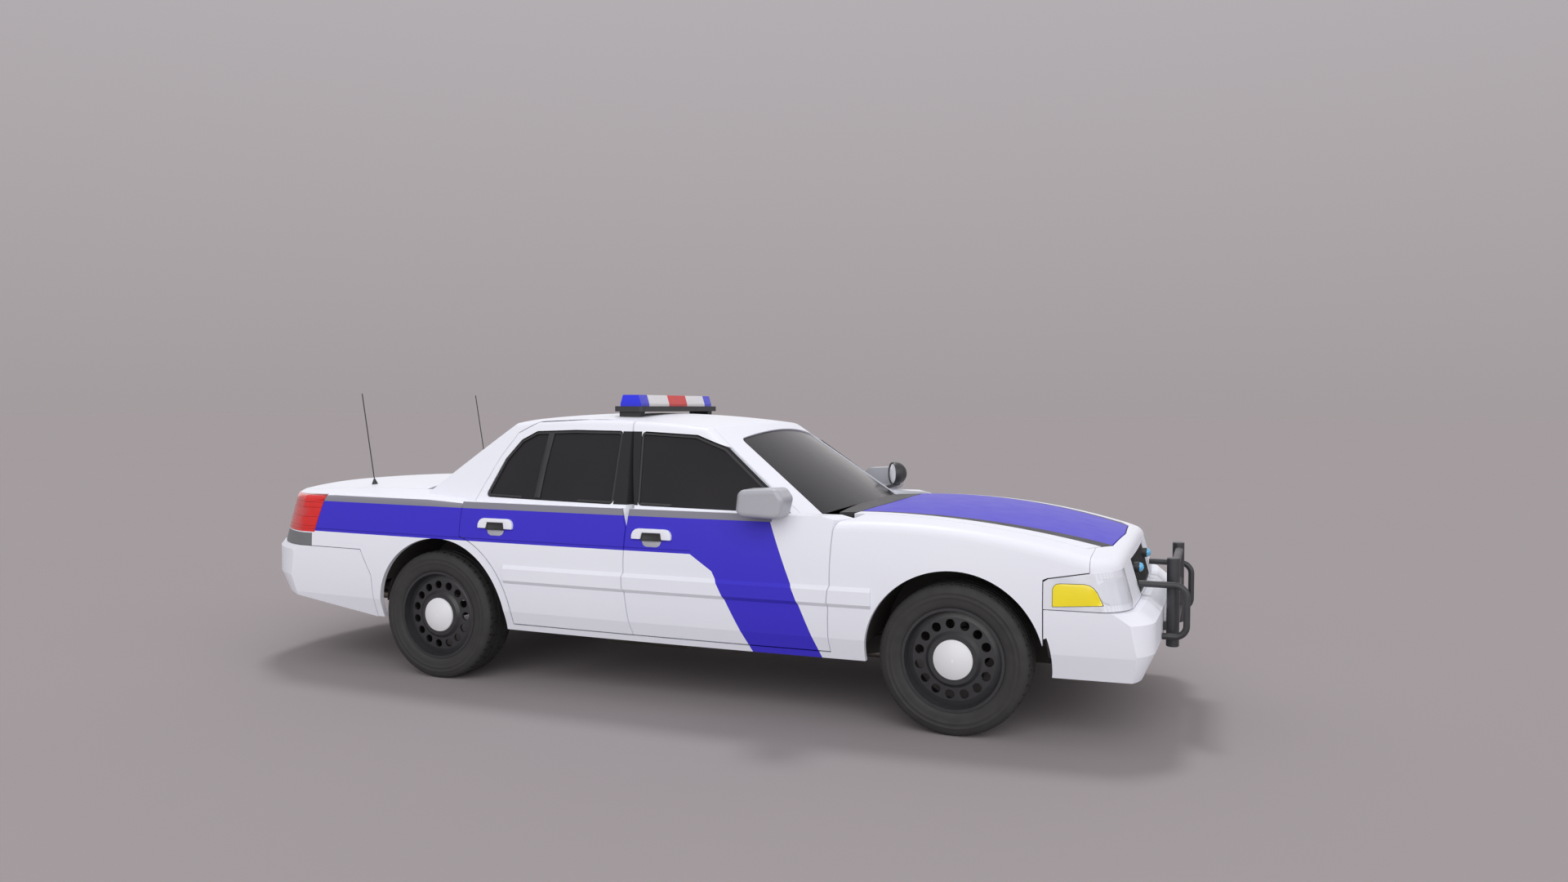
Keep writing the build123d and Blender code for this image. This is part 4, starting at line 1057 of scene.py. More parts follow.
@dataclass
class RoadTyre:
    """Road tyre with four grooves round it, cut shoulder blocks and ridged side walls."""

    finish: Finishes
    steps: int = 240
    shoulder: Pair = (0.0720, 0.0960)
    shoulder_cut: int = 5
    shoulder_shifts: tuple[int, int] = (0, 2)
    rib: Pair = (0.0310, 0.0620)
    rib_cut: int = 8
    rib_shifts: tuple[int, int] = (3, 6)
    cut_depth: float = 0.006
    tread_floor: float = 0.3495
    wall: Outline = (
        (0.1000, 0.2442), (0.1055, 0.2490), (0.1090, 0.2600), (0.1106, 0.2760), (0.1110, 0.2900),
        (0.1120, 0.2920), (0.1120, 0.2960), (0.1110, 0.2980), (0.1112, 0.3120), (0.1120, 0.3135),
        (0.1120, 0.3160), (0.1108, 0.3180), (0.1085, 0.3300), (0.1030, 0.3420), (0.0960, 0.3492),
        (0.0860, 0.3535))
    tread: Outline = (
        (0.0720, 0.3550), (0.0710, 0.3470), (0.0630, 0.3470), (0.0620, 0.3550), (0.0310, 0.3550),
        (0.0300, 0.3470), (0.0220, 0.3470), (0.0210, 0.3550))

    def profile(self) -> list[Pair]:
        """Lists the closed loop of the tyre's section, from the outer bead round to it again.

        Returns:
            Pairs of distance along the axle and radius.
        """
        half = [*self.wall, *self.tread]
        other = [(-along, radius) for along, radius in reversed(half)]
        return [*half, *other, half[0]]

    def on_row(self, centre: Vector, side: Side, limits: Pair, period: int, shift: int) -> bool:
        """Tells whether a tread face lies in a row of cuts.

        Args:
            centre: Centre of the face.
            side: Side of the tread that the row is on.
            limits: Inner and outer limit of the row across the tread.
            period: Faces from one cut to the next.
            shift: Start of the row.

        Returns:
            Whether the face is cut.
        """
        low, high = limits
        if not low < centre.y * side.value < high or math.hypot(centre.x, centre.z) < self.tread_floor:
            return False
        step = int((math.atan2(centre.z, centre.x) % FULL_TURN) / FULL_TURN * self.steps)
        return (step + shift) % period == 0

    def is_cut(self, centre: Vector, _normal: Vector) -> bool:
        """Tells whether a face belongs to one of the four rows of cuts.

        Args:
            centre: Centre of the face.
            _normal: Direction of the face, which doesn't matter.

        Returns:
            Whether the face is cut.
        """
        rows = ((self.shoulder, self.shoulder_cut, self.shoulder_shifts),
                (self.rib, self.rib_cut, self.rib_shifts))
        return any(self.on_row(centre, side, limits, period, shift)
                   for limits, period, shifts in rows for side, shift in zip(Side, shifts))

    def build(self) -> None:
        """Models one tyre and fits a copy of it on each wheel."""
        tyre = turned("tyre_model", self.profile(), Vector((0, 0, 0)), Vector((0, 1, 0)), self.steps)
        pick_faces(tyre, self.is_cut)
        bpy.ops.mesh.extrude_region_shrink_fatten(TRANSFORM_OT_shrink_fatten={"value": -self.cut_depth})
        deselect()
        for axle in Axle:
            for side in Side:
                word = f"{axle.word}_{side.word}"
                place = (axle.value, WHEEL_Y * side.value, WHEEL_Z)
                twin = copied(tyre, f"road_tyre_{word}", place, side is Side.RIGHT)
                rubber = self.finish[f"tyre_{axle.word}"]
                Place(f"{word}_wheel", "tyre", rubber, (f"tyre_{word}",)).put(twin)
        bpy.data.objects.remove(tyre)


@dataclass
class Upholstery:
    """Two front seats and the rear bench, as stuffed cushions on plain bases."""

    finish: Finishes
    front_y: float = 0.380
    edge: float = 0.028
    voxel: float = 0.013
    pressure: float = 4.0
    quality: int = 4
    cap: float = 0.014
    frames: int = 20
    fill: float = 0.7
    smooth: float = 80.0
    seam_half: float = 0.008
    seam_depth: float = 0.007
    front_seam: float = 0.120
    bench_seam: float = 0.200
    cushion_half: float = 0.212
    cushion: Outline = (
        (-1.805, 0.480), (-1.805, 0.575), (-1.700, 0.572), (-1.300, 0.605), (-1.275, 0.560),
        (-1.300, 0.480))
    back_half: float = 0.232
    back: Outline = ((-1.775, 0.585), (-1.880, 0.585), (-2.035, 1.105), (-1.945, 1.115))
    head_half: float = 0.118
    head: Outline = ((-1.968, 1.150), (-2.040, 1.150), (-2.062, 1.258), (-1.995, 1.262))
    base_half: float = 0.200
    base_edge: float = 0.012
    base: Outline = ((-1.780, 0.362), (-1.760, 0.476), (-1.320, 0.476), (-1.300, 0.362))
    bench_z: float = 0.600
    bench_thick: float = 0.075
    bench_plan: Outline = ((-2.285, 0.640), (-2.415, 0.640), (-2.450, 0.500), (-2.790, 0.500))
    bench_foot: Pair = (-2.800, 0.690)
    bench_lean: float = 0.30
    bench_push: Point = (-0.070, 0.0, -0.015)
    bench_front: Outline = ((0.500, 0.690), (0.500, 0.850), (0.640, 0.880), (0.640, 0.985))

    def swell(self, piece: Object) -> None:
        """Fills a sewn form with air as cloth, and holds each point to the cap.

        Args:
            piece: The form.
        """
        flat = [point.co.copy() for point in piece.data.vertices]
        activate(piece)
        bpy.ops.object.modifier_add(type="CLOTH")
        cloth = piece.modifiers[-1]
        cloth.settings.use_pressure = True
        cloth.settings.uniform_pressure_force = self.pressure
        cloth.settings.quality = self.quality
        cloth.settings.effector_weights.gravity = 0.0
        cloth.point_cache.frame_start = 1
        cloth.point_cache.frame_end = self.frames
        for frame in range(1, self.frames + 1):
            bpy.context.scene.frame_set(frame)
        bpy.ops.object.modifier_apply(modifier=cloth.name)
        for point, start in zip(piece.data.vertices, flat):
            move = point.co - start
            if move.length > self.cap:
                point.co = start + move * (self.cap / move.length)
        bpy.context.scene.frame_set(1)

    def stuff(self, piece: Object) -> None:
        """Rounds a sewn form, fills it until it swells and smooths it.

        Args:
            piece: The form.
        """
        soften(piece, self.edge, segments=3)
        modify(piece, "REMESH", mode="VOXEL", voxel_size=self.voxel)
        self.swell(piece)
        modify(piece, "SMOOTH", factor=0.5, iterations=3)

    def sew(self, piece: Object, middle: float, seam: float) -> None:
        """Pulls two sewn channels into a cushion, one on each side of its middle.

        Args:
            piece: The cushion.
            middle: Middle of the cushion across the car.
            seam: Distance of each channel from the middle.
        """
        for line in (middle - seam, middle + seam):
            pick_points(piece, lambda co, _normal, at=line: abs(co.y - at) < self.seam_half)
            fatten(-self.seam_depth)

    def finish_cushion(self, piece: Object, node: str) -> None:
        """Args:
            piece: The cushion.
            node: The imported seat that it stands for.
        """
        modify(piece, "SUBSURF", levels=1, render_levels=1)
        Place("body", "seat_cloth", self.finish["seat_cloth"], (node,), self.smooth).put(piece)

    def side_form(self, name: str, outline: Outline, half: float) -> Object:
        """Extrudes a side-view outline across the middle of a front seat."""
        points = [(ahead(a), self.front_y - half, z) for a, z in outline]
        return prism(name, points, (0.0, 2 * half, 0.0))

    def build_front(self) -> None:
        """Makes the left front seat and copies it across the car."""
        parts = (("cushion", self.cushion, self.cushion_half), ("back", self.back, self.back_half),
                 ("head", self.head, self.head_half))
        for word, outline, half in parts:
            piece = self.side_form(f"front_seat_{word}_left", outline, half)
            self.stuff(piece)
            if word != "head":
                self.sew(piece, self.front_y, self.front_seam)
            twin = copied(piece, f"front_seat_{word}_right", flipped=True)
            for seat in (piece, twin):
                self.finish_cushion(seat, "front_seats")
        base = self.side_form("front_seat_base_left", self.base, self.base_half)
        soften(base, self.base_edge)
        twin = copied(base, "front_seat_base_right", flipped=True)
        for piece in (base, twin):
            Place("body", "black_plastic", self.finish["black_plastic"], ("front_seats",)).put(piece)

    def build_bench(self) -> None:
        """Makes the rear bench cushion and its back."""
        plan = [(ahead(a), y, self.bench_z) for a, y in self.bench_plan]
        plan = plan + [(x, -y, z) for x, y, z in reversed(plan)]
        cushion = prism("rear_bench_cushion", plan, (0.0, 0.0, self.bench_thick))
        foot_a, foot_z = self.bench_foot
        front = [(ahead(foot_a - self.bench_lean * (z - foot_z)), y, z) for y, z in self.bench_front]
        front = front + [(x, -y, z) for x, y, z in reversed(front)]
        back = prism("rear_bench_back", front, self.bench_push)
        for piece in (cushion, back):
            self.stuff(piece)
            self.sew(piece, 0.0, self.bench_seam)
            self.finish_cushion(piece, "rear_seat")

    def build(self) -> None:
        """Makes all the seats."""
        self.build_front()
        self.build_bench()


@dataclass
class DoorTrim:
    """Handles, window seals, divider bars and inner cards of the four doors."""

    finish: Finishes
    windows: dict[Axle, Outline] = field(default_factory=lambda: {
        Axle.FRONT: ((-0.824, 1.004), (-1.225, 1.306), (-1.404, 1.368), (-1.712, 1.384), (-1.722, 1.376),
                     (-1.646, 1.030), (-1.662, 1.020)),
        Axle.REAR: ((-1.800, 1.020), (-1.790, 1.032), (-1.838, 1.372), (-1.856, 1.385), (-2.140, 1.387),
                    (-2.394, 1.377), (-2.482, 1.330), (-2.552, 1.228), (-2.606, 1.046), (-2.594, 1.030))})
    seal_width: float = 0.011
    seal_sunk: float = 0.0095
    seal_thick: float = 0.0085
    bar: Outline = ((-2.250, 1.032), (-2.288, 1.032), (-2.306, 1.200), (-2.318, 1.376), (-2.280, 1.376),
                    (-2.267, 1.200))
    bar_sunk: float = 0.0100
    bar_thick: float = 0.0080
    bar_edge: float = 0.0015
    cards: dict[Axle, Outline] = field(default_factory=lambda: {
        Axle.FRONT: ((-0.720, 0.430), (-0.720, 0.940), (-1.610, 0.940), (-1.610, 0.430)),
        Axle.REAR: ((-1.760, 0.430), (-1.760, 0.940), (-2.580, 0.940), (-2.480, 0.780), (-2.390, 0.640),
                    (-2.330, 0.430))})
    card_sunk: float = 0.1265
    card_thick: float = 0.010
    card_edge: float = 0.003
    rests: dict[Axle, Pair] = field(default_factory=lambda: {
        Axle.FRONT: (-1.150, -1.560), Axle.REAR: (-1.850, -2.250)})
    rest_front: Outline = ((-0.030, 0.660), (0.0, 0.690), (-0.040, 0.735))
    rest_rear: Outline = ((0.020, 0.725), (0.0, 0.680), (0.030, 0.655))
    rest_sunk: float = 0.136
    rest_thick: float = 0.048
    rest_edge: float = 0.012
    handles: dict[Axle, Pair] = field(default_factory=lambda: {
        Axle.FRONT: (-1.5275, 0.852), Axle.REAR: (-2.4775, 0.865)})
    grip: Outline = (
        (-0.1115, 0.000), (-0.1115, 0.022), (-0.105, 0.038), (-0.092, 0.049), (-0.076, 0.053), (0.076, 0.053),
        (0.092, 0.049), (0.105, 0.038), (0.1115, 0.022), (0.1115, 0.000), (0.060, 0.000), (0.053, 0.033),
        (-0.053, 0.033), (-0.060, 0.000))
    grip_depths: Pair = (0.006, 0.016)
    grip_edge: float = 0.004
    # Outline of the pocket in the handle's opening, black as painted shade.
    pull: Outline = ((-0.059, -0.007), (-0.0525, 0.0325), (0.0525, 0.0325), (0.059, -0.007))
    pull_depths: Pair = (0.006, 0.012)
    pull_rim: float = 0.006
    pull_hollow: float = 0.005
    pull_edge: float = 0.0015
    # Outline of the scoop plate, light grey as painted light and shade of the finger dish.
    scoop: Outline = ((-0.056, -0.008), (0.056, -0.008), (0.046, -0.030), (0.030, -0.038), (-0.030, -0.038),
                      (-0.046, -0.030))
    scoop_depths: Pair = (0.004, 0.0015)
    scoop_edge: float = 0.001

    def plate(self, name: str, outline: Outline, axle: Axle, depths: Pair) -> Object:
        """Makes a plate on the door skin from an outline about the handle's foot.

        Args:
            name: Name of the new piece.
            outline: Corners, along and above the handle's foot.
            axle: Which doors.
            depths: How far the plate is sunk into the skin and how far it stands proud.

        Returns:
            The new piece.
        """
        a, z = self.handles[axle]
        sunk, proud = depths
        points = [BODY.on_side(a + along, z + up, -sunk) for along, up in outline]
        return prism(name, points, (0.0, sunk + proud, 0.0))

    def build_handle(self, axle: Axle) -> None:
        """Makes the white handle, the pocket in its opening, black as painted shade, and the scoop under it,
        light grey as painted light and shade of its dish.

        Args:
            axle: Which doors.
        """
        grip = self.plate(f"{axle.word}_door_handle_left", self.grip, axle, self.grip_depths)
        soften(grip, self.grip_edge, segments=3)
        put_on_doors(grip, axle, "paint_white", self.finish["plain_white"])
        # The pocket piece is black as painted shade in the recess under the grip.
        pull = self.plate(f"{axle.word}_door_pull_left", self.pull, axle, self.pull_depths)
        pick_faces(pull, lambda _centre, normal: normal.y > FACING)
        bpy.ops.mesh.inset(thickness=self.pull_rim)
        bpy.ops.mesh.extrude_region_move(TRANSFORM_OT_translate={"value": (0.0, -self.pull_hollow, 0.0)})
        soften(pull, self.pull_edge)
        put_on_doors(pull, axle, "black_plastic", self.finish["black_plastic"])
        # The scoop's light grey is painted light and shade of the dish under the handle, on a plate standing
        # proud of the skin.
        dish = self.plate(f"{axle.word}_door_scoop_left", self.scoop, axle, self.scoop_depths)
        soften(dish, self.scoop_edge)
        put_on_doors(dish, axle, "grey_plastic", self.finish["mirror_shell"])

    def build_window(self, axle: Axle) -> None:
        """Makes the rubber seal round a window.

        Args:
            axle: Which doors.
        """
        points = [BODY.on_cabin(a, z, -self.seal_sunk) for a, z in self.windows[axle]]
        seal = ring(f"{axle.word}_window_seal_left", points, self.seal_width, (0.0, self.seal_thick, 0.0))
        put_on_doors(seal, axle, "black_plastic", self.finish["black_plastic"])

    def build_divider(self) -> None:
        """Makes the bar between the rear window and its quarter glass."""
        points = [BODY.on_cabin(a, z, -self.bar_sunk) for a, z in self.bar]
        bar = prism("rear_window_bar_left", points, (0.0, self.bar_thick, 0.0))
        soften(bar, self.bar_edge)
        put_on_doors(bar, Axle.REAR, "black_plastic", self.finish["black_plastic"])

    def build_card(self, axle: Axle) -> None:
        """Makes the inner card of a door with its arm rest.

        Args:
            axle: Which doors.
        """
        points = [BODY.on_side(a, z, -self.card_sunk) for a, z in self.cards[axle]]
        card = prism(f"{axle.word}_door_card_left", points, (0.0, -self.card_thick, 0.0))
        soften(card, self.card_edge)
        put_on_doors(card, axle, "black_plastic", self.finish["cabin_trim"])
        front, rear = self.rests[axle]
        outline = [(front + along, z) for along, z in self.rest_front]
        outline = outline + [(rear + along, z) for along, z in self.rest_rear]
        points = [BODY.on_side(a, z, -self.rest_sunk) for a, z in outline]
        rest = prism(f"{axle.word}_arm_rest_left", points, (0.0, -self.rest_thick, 0.0))
        soften(rest, self.rest_edge, segments=3)
        put_on_doors(rest, axle, "black_plastic", self.finish["black_plastic"])

    def build(self) -> None:
        """Makes the trim of all four doors."""
        for axle in Axle:
            self.build_handle(axle)
            self.build_window(axle)
            self.build_card(axle)
        self.build_divider()


@dataclass
class Lamps:
    """Ribs of the tail lamps, side markers, headlamp fields, spot-lamp lens and grille lamps."""

    finish: Finishes
    nodes: dict[str, Object]
    bands: Outline = (
        (0.786, 0.798), (0.804, 0.815), (0.821, 0.868), (0.874, 0.921), (0.927, 0.952), (0.958, 0.992))
    band_proud: float = 0.003
    marker: Outline = (
        (0.456, 0.642), (0.456, 0.716), (0.461, 0.729), (0.471, 0.738), (0.487, 0.741), (0.588, 0.743),
        (0.610, 0.739), (0.628, 0.728), (0.642, 0.710), (0.667, 0.657))
    marker_proud: float = 0.0026
    rim_width: float = 0.0035
    rim_proud: float = 0.0010
    lens_field: Outline = (
        (0.762, 0.655), (0.880, 0.655), (0.895, 0.668), (0.895, 0.750), (0.880, 0.768), (0.780, 0.775),
        (0.760, 0.760))
    lens_proud: float = 0.0020
    lens_rear: float = 0.600
    spot_hub: Point = (0.930, 0.850, 1.105)
    spot_aim: Point = (-0.80, -0.60, 0.0)
    spot_lens: Outline = (
        (0.0265, 0.0), (0.0262, 0.012), (0.0250, 0.026), (0.0228, 0.040), (0.0200, 0.052), (0.0165, 0.062),
        (0.0155, 0.062), (0.0155, 0.0))
    spot_bezel: Outline = (
        (0.0150, 0.0615), (0.0220, 0.0635), (0.0235, 0.0670), (0.0220, 0.0710), (0.0150, 0.0725),
        (0.0150, 0.0615))
    spot_steps: int = 48
    grille_lamp: Pair = (0.290, 0.752)
    grille_foot: Pair = (2.494, 0.660)
    grille_lean: float = 0.27
    grille_bow: float = 0.016
    grille_half: float = 0.7
    grille_shell: Outline = ((-0.018, 0.0), (-0.018, 0.024), (0.012, 0.0255), (0.016, 0.0240), (0.016, 0.0))
    grille_lens: Outline = (
        (0.012, 0.0), (0.012, 0.0225), (0.020, 0.0222), (0.028, 0.0190), (0.033, 0.0130), (0.036, 0.0060),
        (0.037, 0.0))
    grille_steps: int = 24

    def on_body(self, slot: str, finish: str) -> Place:
        """Place of a lamp piece on the body."""
        return Place("body", slot, self.finish[finish])

    def raise_field(self, lamp: str, name: str, cuts: Sequence[Cut], proud: float, place: Place) -> None:
        """Raises a field of a packed lamp above its surface.

        Args:
            lamp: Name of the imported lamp.
            name: Name of the new piece.
            cuts: Planes round the field.
            proud: Height of the field.
            place: Where it belongs.
        """
        piece = slice_of(self.nodes[lamp], name, cuts)
        edit_all(piece)
        fatten(proud)
        place.put(piece)

    def build_tail(self) -> None:
        """Raises the ribs of the tail lamps."""
        for number, (low, high) in enumerate(self.bands):
            cuts = (((0, 0, low), (0, 0, -1)), ((0, 0, high), (0, 0, 1)))
            place = self.on_body("lamp_red", "tail_rib")
            self.raise_field("tail_lamps", f"tail_lamp_rib_{number}", cuts, self.band_proud, place)

    def build_markers(self) -> None:
        """Makes the yellow side markers, the dark rims round them and the lens fields in front."""
        points = [(ahead(a), 0.0, z) for a, z in self.marker]
        across = (0.0, 1.0, 0.0)
        rim_cuts = outline_cuts(points, across, self.rim_width)
        rim = self.on_body("black_plastic", "black_plastic")
        self.raise_field("headlamps", "side_marker_rims", rim_cuts, self.rim_proud, rim)
        amber = self.on_body("lamp_clear", "marker")
        self.raise_field("headlamps", "side_markers", outline_cuts(points, across), self.marker_proud, amber)
        rear_cut = ((ahead(self.lens_rear), 0.0, 0.0), (-1.0, 0.0, 0.0))
        lens = self.on_body("lamp_clear", "lamp_field")
        for side in Side:
            corners = [(0.0, y * side.value, z) for y, z in self.lens_field]
            cuts = [*outline_cuts(corners, (side.value, 0.0, 0.0)), rear_cut]
            self.raise_field("headlamps", f"headlamp_field_{side.word}", cuts, self.lens_proud, lens)

    def build_spot(self) -> None:
        """Makes the spot lamp's bright lens and the ring round it."""
        hub, aim = Vector(self.spot_hub), Vector(self.spot_aim)
        parts = (("spot_lamp_lens", self.spot_lens, self.on_body("lamp_clear", "spot_glass")),
                 ("spot_lamp_bezel", self.spot_bezel, self.on_body("black_steel", "black_steel")))
        for name, profile, place in parts:
            place.put(turned(name, profile, hub, aim, self.spot_steps))

    def build_grille(self) -> None:
        """Puts a small blue lamp on each half of the grille."""
        y, z = self.grille_lamp
        foot_x, foot_z = self.grille_foot
        x = foot_x - self.grille_lean * (z - foot_z) - self.grille_bow * (y / self.grille_half) ** 2
        forward = Vector((1, 0, 0))
        parts = (("grille_lamp_shell", self.grille_shell, self.on_body("black_plastic", "black_plastic")),
                 ("grille_lamp", self.grille_lens, self.on_body("lens_blue", "strobe")))
        for side in Side:
            hub = Vector((x, y * side.value, z))
            for word, profile, place in parts:
                place.put(turned(f"{word}_{side.word}", profile, hub, forward, self.grille_steps))

    def build(self) -> None:
        """Makes all the lamp pieces."""
        self.build_tail()
        self.build_markers()
        self.build_spot()
        self.build_grille()


@dataclass
class MirrorGlass:
    """Glass of the two door mirrors."""

    finish: Finishes
    outline: Outline = (
        (0.990, 1.020), (0.984, 1.034), (0.984, 1.098), (0.994, 1.112), (1.072, 1.112), (1.082, 1.100),
        (1.082, 1.034), (1.074, 1.020))
    foot: Pair = (-1.0145, 1.005)
    lean: float = 0.117
    push: Point = (-0.004, 0.0, 0.0005)
    edge: float = 0.001

    def build(self) -> None:
        """Makes the left glass and copies it across the car."""
        foot_a, foot_z = self.foot
        points = [(ahead(foot_a + self.lean * (z - foot_z)), y, z) for y, z in self.outline]
        glass = prism("mirror_glass_left", points, self.push)
        soften(glass, self.edge)
        put_on_doors(glass, Axle.FRONT, "bare_steel", self.finish["mirror_glass"])


@dataclass
class Studio:
    """Floor, soft lights, sky and the camera of the photograph."""

    camera_place: Point = (2.8361, -5.9276, 1.5299)
    yaw: float = 21.463
    pitch: float = -1.822
    roll: float = -0.212
    lens: float = 25.463
    sensor_width: float = 36.0
    floor_half: float = 150.0
    floor_colour: Colour = (0.335, 0.308, 0.313, 1.0)
    floor_shade: Colour = (0.325, 0.299, 0.304, 1.0)
    floor_patch: float = 0.3
    floor_rough: Pair = (0.8, 0.95)
    floor_rough_patch: float = 2.0
    low_sky: Colour = (0.372, 0.336, 0.345, 1.0)
    high_sky: Colour = (0.48, 0.455, 0.475, 1.0)
    sky_fade: float = 0.45
    light_aim: Point = (0.0, 0.0, 0.6)
    lights: tuple[tuple[str, Point, float, float], ...] = (
        ("key", (-1.2, 2.2, 6.0), 12.0, 1.0), ("fill", (2.6, -9.0, 4.2), 70.0, 2.0),
        ("front", (9.0, -1.5, 4.0), 60.0, 0.5), ("far_side", (-4.0, 9.0, 4.0), 80.0, 0.6))

    def build(self) -> None:
        """Makes the whole stage."""
        self.build_floor()
        self.build_sky()
        self.build_lights()
        self.build_camera()

    def build_floor(self) -> None:
        """Lays the pale floor."""
        deselect()
        bpy.ops.mesh.primitive_plane_add(size=2 * self.floor_half, location=(0, 0, 0))
        floor = bpy.context.object
        floor.name = "floor"
        graph = Graph("floor_paint")
        colour = graph.mix(graph.noise(self.floor_patch), self.floor_colour, self.floor_shade)
        graph.feed("Base Color", colour)
        graph.feed("Roughness", graph.ramp(graph.noise(self.floor_rough_patch), *self.floor_rough))
        graph.feed("Specular IOR Level", 0.0)
        floor.data.materials.append(graph.material)

    def build_sky(self) -> None:
        """Sets an even sky that fades into the floor, and plain colours for the picture."""
        world = bpy.data.worlds.new("studio_sky")
        bpy.context.scene.world = world
        world.use_nodes = True
        nodes, links = world.node_tree.nodes, world.node_tree.links
        split = nodes.new("ShaderNodeSeparateXYZ")
        links.new(nodes.new("ShaderNodeTexCoord").outputs["Generated"], split.inputs[0])
        height = nodes.new("ShaderNodeMapRange")
        links.new(split.outputs["Z"], height.inputs[0])
        height.inputs[RANGE_FROM_TOP].default_value = self.sky_fade
        mix = nodes.new("ShaderNodeMix")
        mix.data_type = "RGBA"
        links.new(height.outputs[0], mix.inputs[MIX_FACTOR])
        mix.inputs[MIX_FIRST].default_value = self.low_sky
        mix.inputs[MIX_SECOND].default_value = self.high_sky
        links.new(mix.outputs[MIX_RESULT], nodes["Background"].inputs["Color"])
        bpy.context.scene.view_settings.view_transform = "Standard"

    def build_lights(self) -> None:
        """Hangs a soft key light above and broad fills round the car."""
        for name, place, spread, power in self.lights:
            deselect()
            bpy.ops.object.light_add(type="SUN", location=place)
            lamp = bpy.context.object
            lamp.name = name
            lamp.data.angle = math.radians(spread)
            lamp.data.energy = power
            aim = Vector(self.light_aim) - Vector(place)
            lamp.rotation_euler = aim.to_track_quat("-Z", "Y").to_euler()

    def build_camera(self) -> None:
        """Puts the camera where the photograph was taken from."""
        deselect()
        bpy.ops.object.camera_add(location=self.camera_place)
        camera = bpy.context.object
        camera.data.sensor_width = self.sensor_width
        camera.data.lens = self.lens
        camera.rotation_mode = "XYZ"
        turns = (90.0 + self.pitch, self.roll, self.yaw)
        camera.rotation_euler = tuple(math.radians(turn) for turn in turns)
        bpy.context.scene.camera = camera


def plain_finishes() -> list[PlainFinish]:
    """Lists the finishes that are one colour with some wear.

    Returns:
        The finishes.
    """
    return [
        PlainFinish("black_plastic", (0.020, 0.020, 0.022, 1.0), (0.030, 0.030, 0.032, 1.0),
                    rough=(0.45, 0.60), grain=700.0, bump=0.2),
        PlainFinish("cabin_trim", (0.060, 0.060, 0.066, 1.0), (0.085, 0.085, 0.090, 1.0),
                    rough=(0.60, 0.75), grain=500.0, bump=0.3),
        PlainFinish("black_steel", (0.024, 0.025, 0.028, 1.0), (0.038, 0.039, 0.043, 1.0),
                    rough=(0.35, 0.50), grain=500.0, bump=0.15),
        # Grey of the mirror shells; the door scoops wear it too, as painted light and shade of their dish.
        PlainFinish("mirror_shell", (0.42, 0.43, 0.47, 1.0), (0.37, 0.38, 0.42, 1.0),
                    rough=(0.30, 0.42), grain=400.0, bump=0.05, coat=0.2),
        PlainFinish("underbody", (0.030, 0.026, 0.024, 1.0), (0.052, 0.046, 0.042, 1.0),
                    rough=(0.70, 0.90), grain=120.0, bump=0.4),
        PlainFinish("cast_block", (0.10, 0.10, 0.10, 1.0), (0.16, 0.155, 0.15, 1.0),
                    rough=(0.60, 0.80), grain=90.0, bump=0.5, metal=0.6),
        PlainFinish("bare_steel", (0.32, 0.31, 0.30, 1.0), (0.22, 0.19, 0.16, 1.0),
                    rough=(0.35, 0.55), grain=160.0, bump=0.2, metal=0.9),
        PlainFinish("seat_cloth", (0.035, 0.035, 0.040, 1.0), (0.060, 0.060, 0.066, 1.0),
                    rough=(0.80, 0.95), grain=900.0, bump=0.6),
        PlainFinish("mirror_glass", (0.62, 0.66, 0.72, 1.0), (0.55, 0.60, 0.67, 1.0),
                    rough=(0.04, 0.09), grain=60.0, bump=0.01, metal=1.0),
        PlainFinish("marker", (0.92, 0.78, 0.02, 1.0), (0.88, 0.70, 0.02, 1.0),
                    rough=(0.15, 0.24), grain=160.0, bump=0.08, coat=0.4),
        PlainFinish("spot_glass", (0.80, 0.81, 0.85, 1.0), (0.70, 0.71, 0.76, 1.0),
                    rough=(0.10, 0.20), grain=120.0, bump=0.1, coat=0.5),
        PlainFinish("lamp_field", (0.58, 0.61, 0.68, 1.0), (0.66, 0.69, 0.75, 1.0),
                    rough=(0.06, 0.14), grain=60.0, bump=0.2, coat=0.6),
        PlainFinish("strobe", (0.10, 0.42, 0.75, 1.0), (0.16, 0.55, 0.85, 1.0),
                    rough=(0.12, 0.22), grain=200.0, bump=0.1, coat=0.4),
        PlainFinish("tail_rib", (0.72, 0.016, 0.012, 1.0), (0.62, 0.010, 0.010, 1.0),
                    rough=(0.14, 0.24), grain=90.0, bump=0.05, coat=0.5),
    ]


def ribbed_lenses() -> list[RibbedLens]:
    """Lists the lamp lenses with moulded ribs.

    Returns:
        The lenses.
    """
    return [
        RibbedLens("headlamp_lens", (0.66, 0.68, 0.75, 1.0), (0.74, 0.76, 0.82, 1.0), "Y", 26.0,
                   rough=(0.10, 0.20), rough_patch=6.0, coat=0.5, bump=0.15, depth=0.001),
        RibbedLens("tail_red", (0.30, 0.006, 0.006, 1.0), (0.16, 0.003, 0.003, 1.0), "Z", 30.0),
        RibbedLens("bar_blue", (0.03, 0.04, 0.80, 1.0), (0.015, 0.02, 0.55, 1.0), "Y", 34.0),
        RibbedLens("bar_red", (0.80, 0.02, 0.02, 1.0), (0.55, 0.012, 0.012, 1.0), "Y", 34.0),
        RibbedLens("bar_white", (0.85, 0.85, 0.86, 1.0), (0.74, 0.74, 0.77, 1.0), "Y", 34.0),
    ]


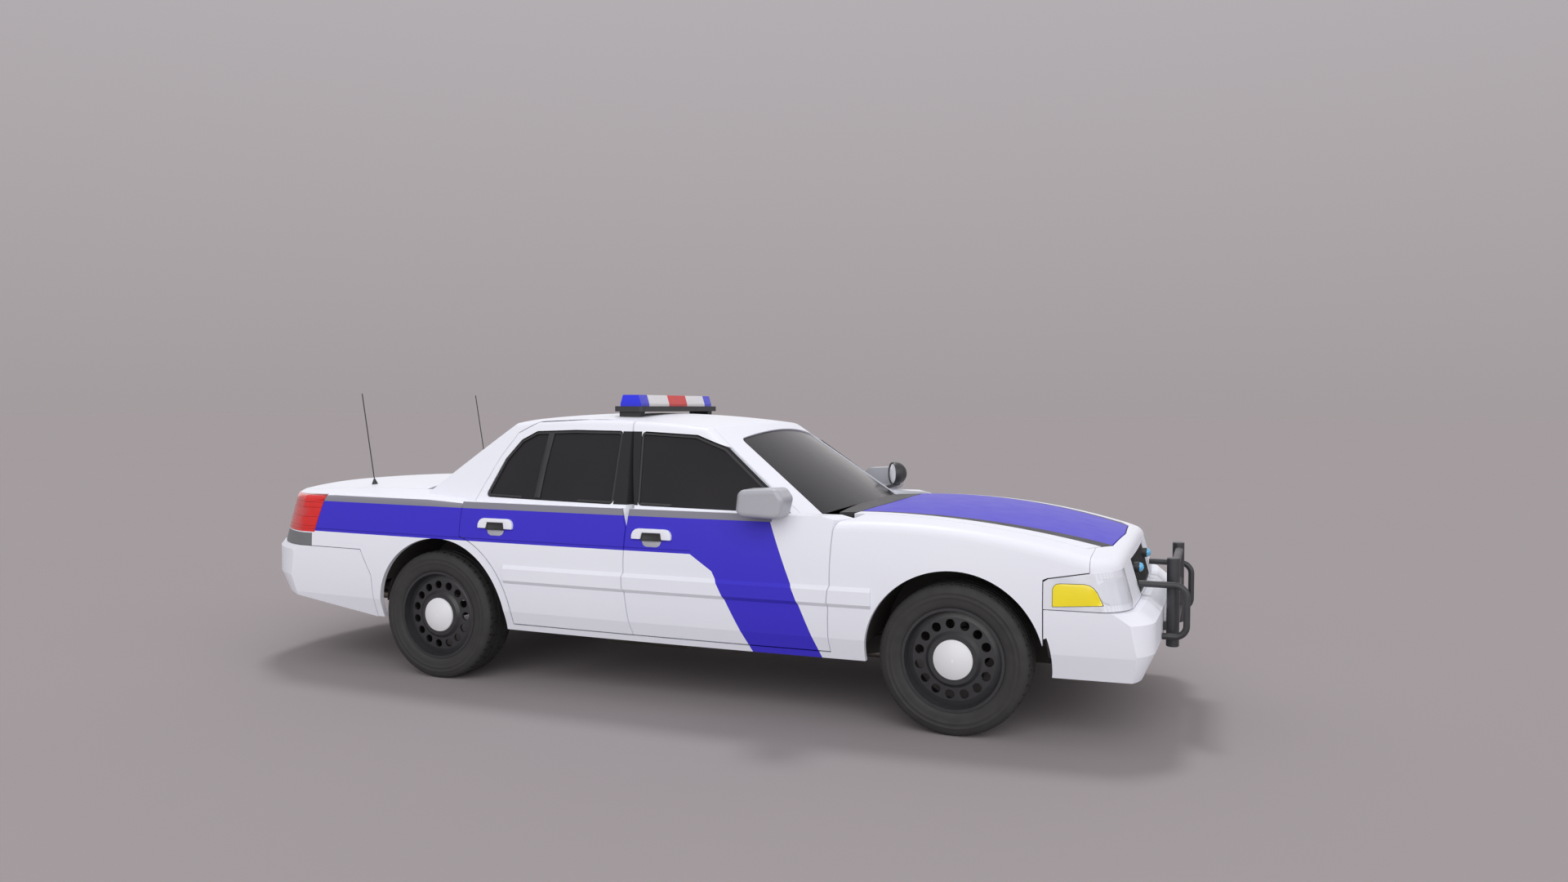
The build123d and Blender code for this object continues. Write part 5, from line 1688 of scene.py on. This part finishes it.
def make_finishes() -> Finishes:
    """Builds every finish of the car once.

    Returns:
        The materials by name.
    """
    finish = {item.name: item.make() for item in (*plain_finishes(), *ribbed_lenses())}
    finish["body_paint"] = BodyPaint().make()
    finish["plain_white"] = BodyPaint().make_plain()
    finish["hood_paint"] = HoodPaint().make()
    finish["glass"] = TintedGlass().make()
    for axle in Axle:
        finish[f"wheel_{axle.word}"] = WheelFinish(axle).make()
        finish[f"tyre_{axle.word}"] = TyreRubber(axle).make()
    return finish


def node_finishes() -> dict[str, tuple[str, ...]]:
    """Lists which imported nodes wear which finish.

    Returns:
        Names of nodes by the name of their finish.
    """
    doors = tuple(f"{axle.word}_door_{side.word}" for axle in Axle for side in Side)
    panes = tuple(f"{axle.word}_door_glass_{side.word}" for axle in Axle for side in Side)
    table = {
        "body_paint": ("front_wings", "nose_panel", "roof_frame", "quarter_panels", "boot_lid",
                       "front_bumper", "rear_bumper", "sills", *doors),
        "hood_paint": ("hood",),
        "glass": ("screens", *panes),
        "headlamp_lens": ("headlamps",),
        "tail_red": ("tail_lamps",),
        "bar_blue": ("lens_blue",),
        "bar_red": ("lens_red",),
        "bar_white": ("lens_white",),
        "black_plastic": ("grille", "cowl", "dashboard", "steering_wheel", "aerials", "light_bar_base",
                          "radiator"),
        "black_steel": ("push_bumper", "spot_lamp", "centre_pillars"),
        "mirror_shell": ("mirror_left", "mirror_right"),
        "underbody": ("chassis_frame", "floor_pan", "bulkheads", "front_suspension", "rear_axle",
                      "fuel_tank", "wheel_liners"),
        "cast_block": ("engine", "knuckle_left", "knuckle_right"),
        "bare_steel": ("exhaust", "propeller_shaft"),
        "seat_cloth": ("front_seats", "rear_seat"),
    }
    for axle in Axle:
        table[f"wheel_{axle.word}"] = tuple(f"rim_{axle.word}_{side.word}" for side in Side)
        table[f"tyre_{axle.word}"] = tuple(f"tyre_{axle.word}_{side.word}" for side in Side)
    return table


def dress_nodes(nodes: dict[str, Object], finish: Finishes) -> None:
    """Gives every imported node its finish.

    Args:
        nodes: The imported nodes.
        finish: The materials by name.
    """
    for name, names in node_finishes().items():
        for node in names:
            materials = nodes[node].data.materials
            materials.clear()
            materials.append(finish[name])


def main() -> None:
    """Loads the frame, dresses it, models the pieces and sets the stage."""
    logging.basicConfig(level=logging.INFO, format="%(name)s %(message)s")
    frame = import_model()
    nodes = frame["nodes"]
    finish = make_finishes()
    dress_nodes(nodes, finish)
    Studio().build()
    RoadTyre(finish).build()
    DoorTrim(finish).build()
    Lamps(finish, nodes).build()
    MirrorGlass(finish).build()
    Upholstery(finish).build()


if __name__ == "__main__":
    main()
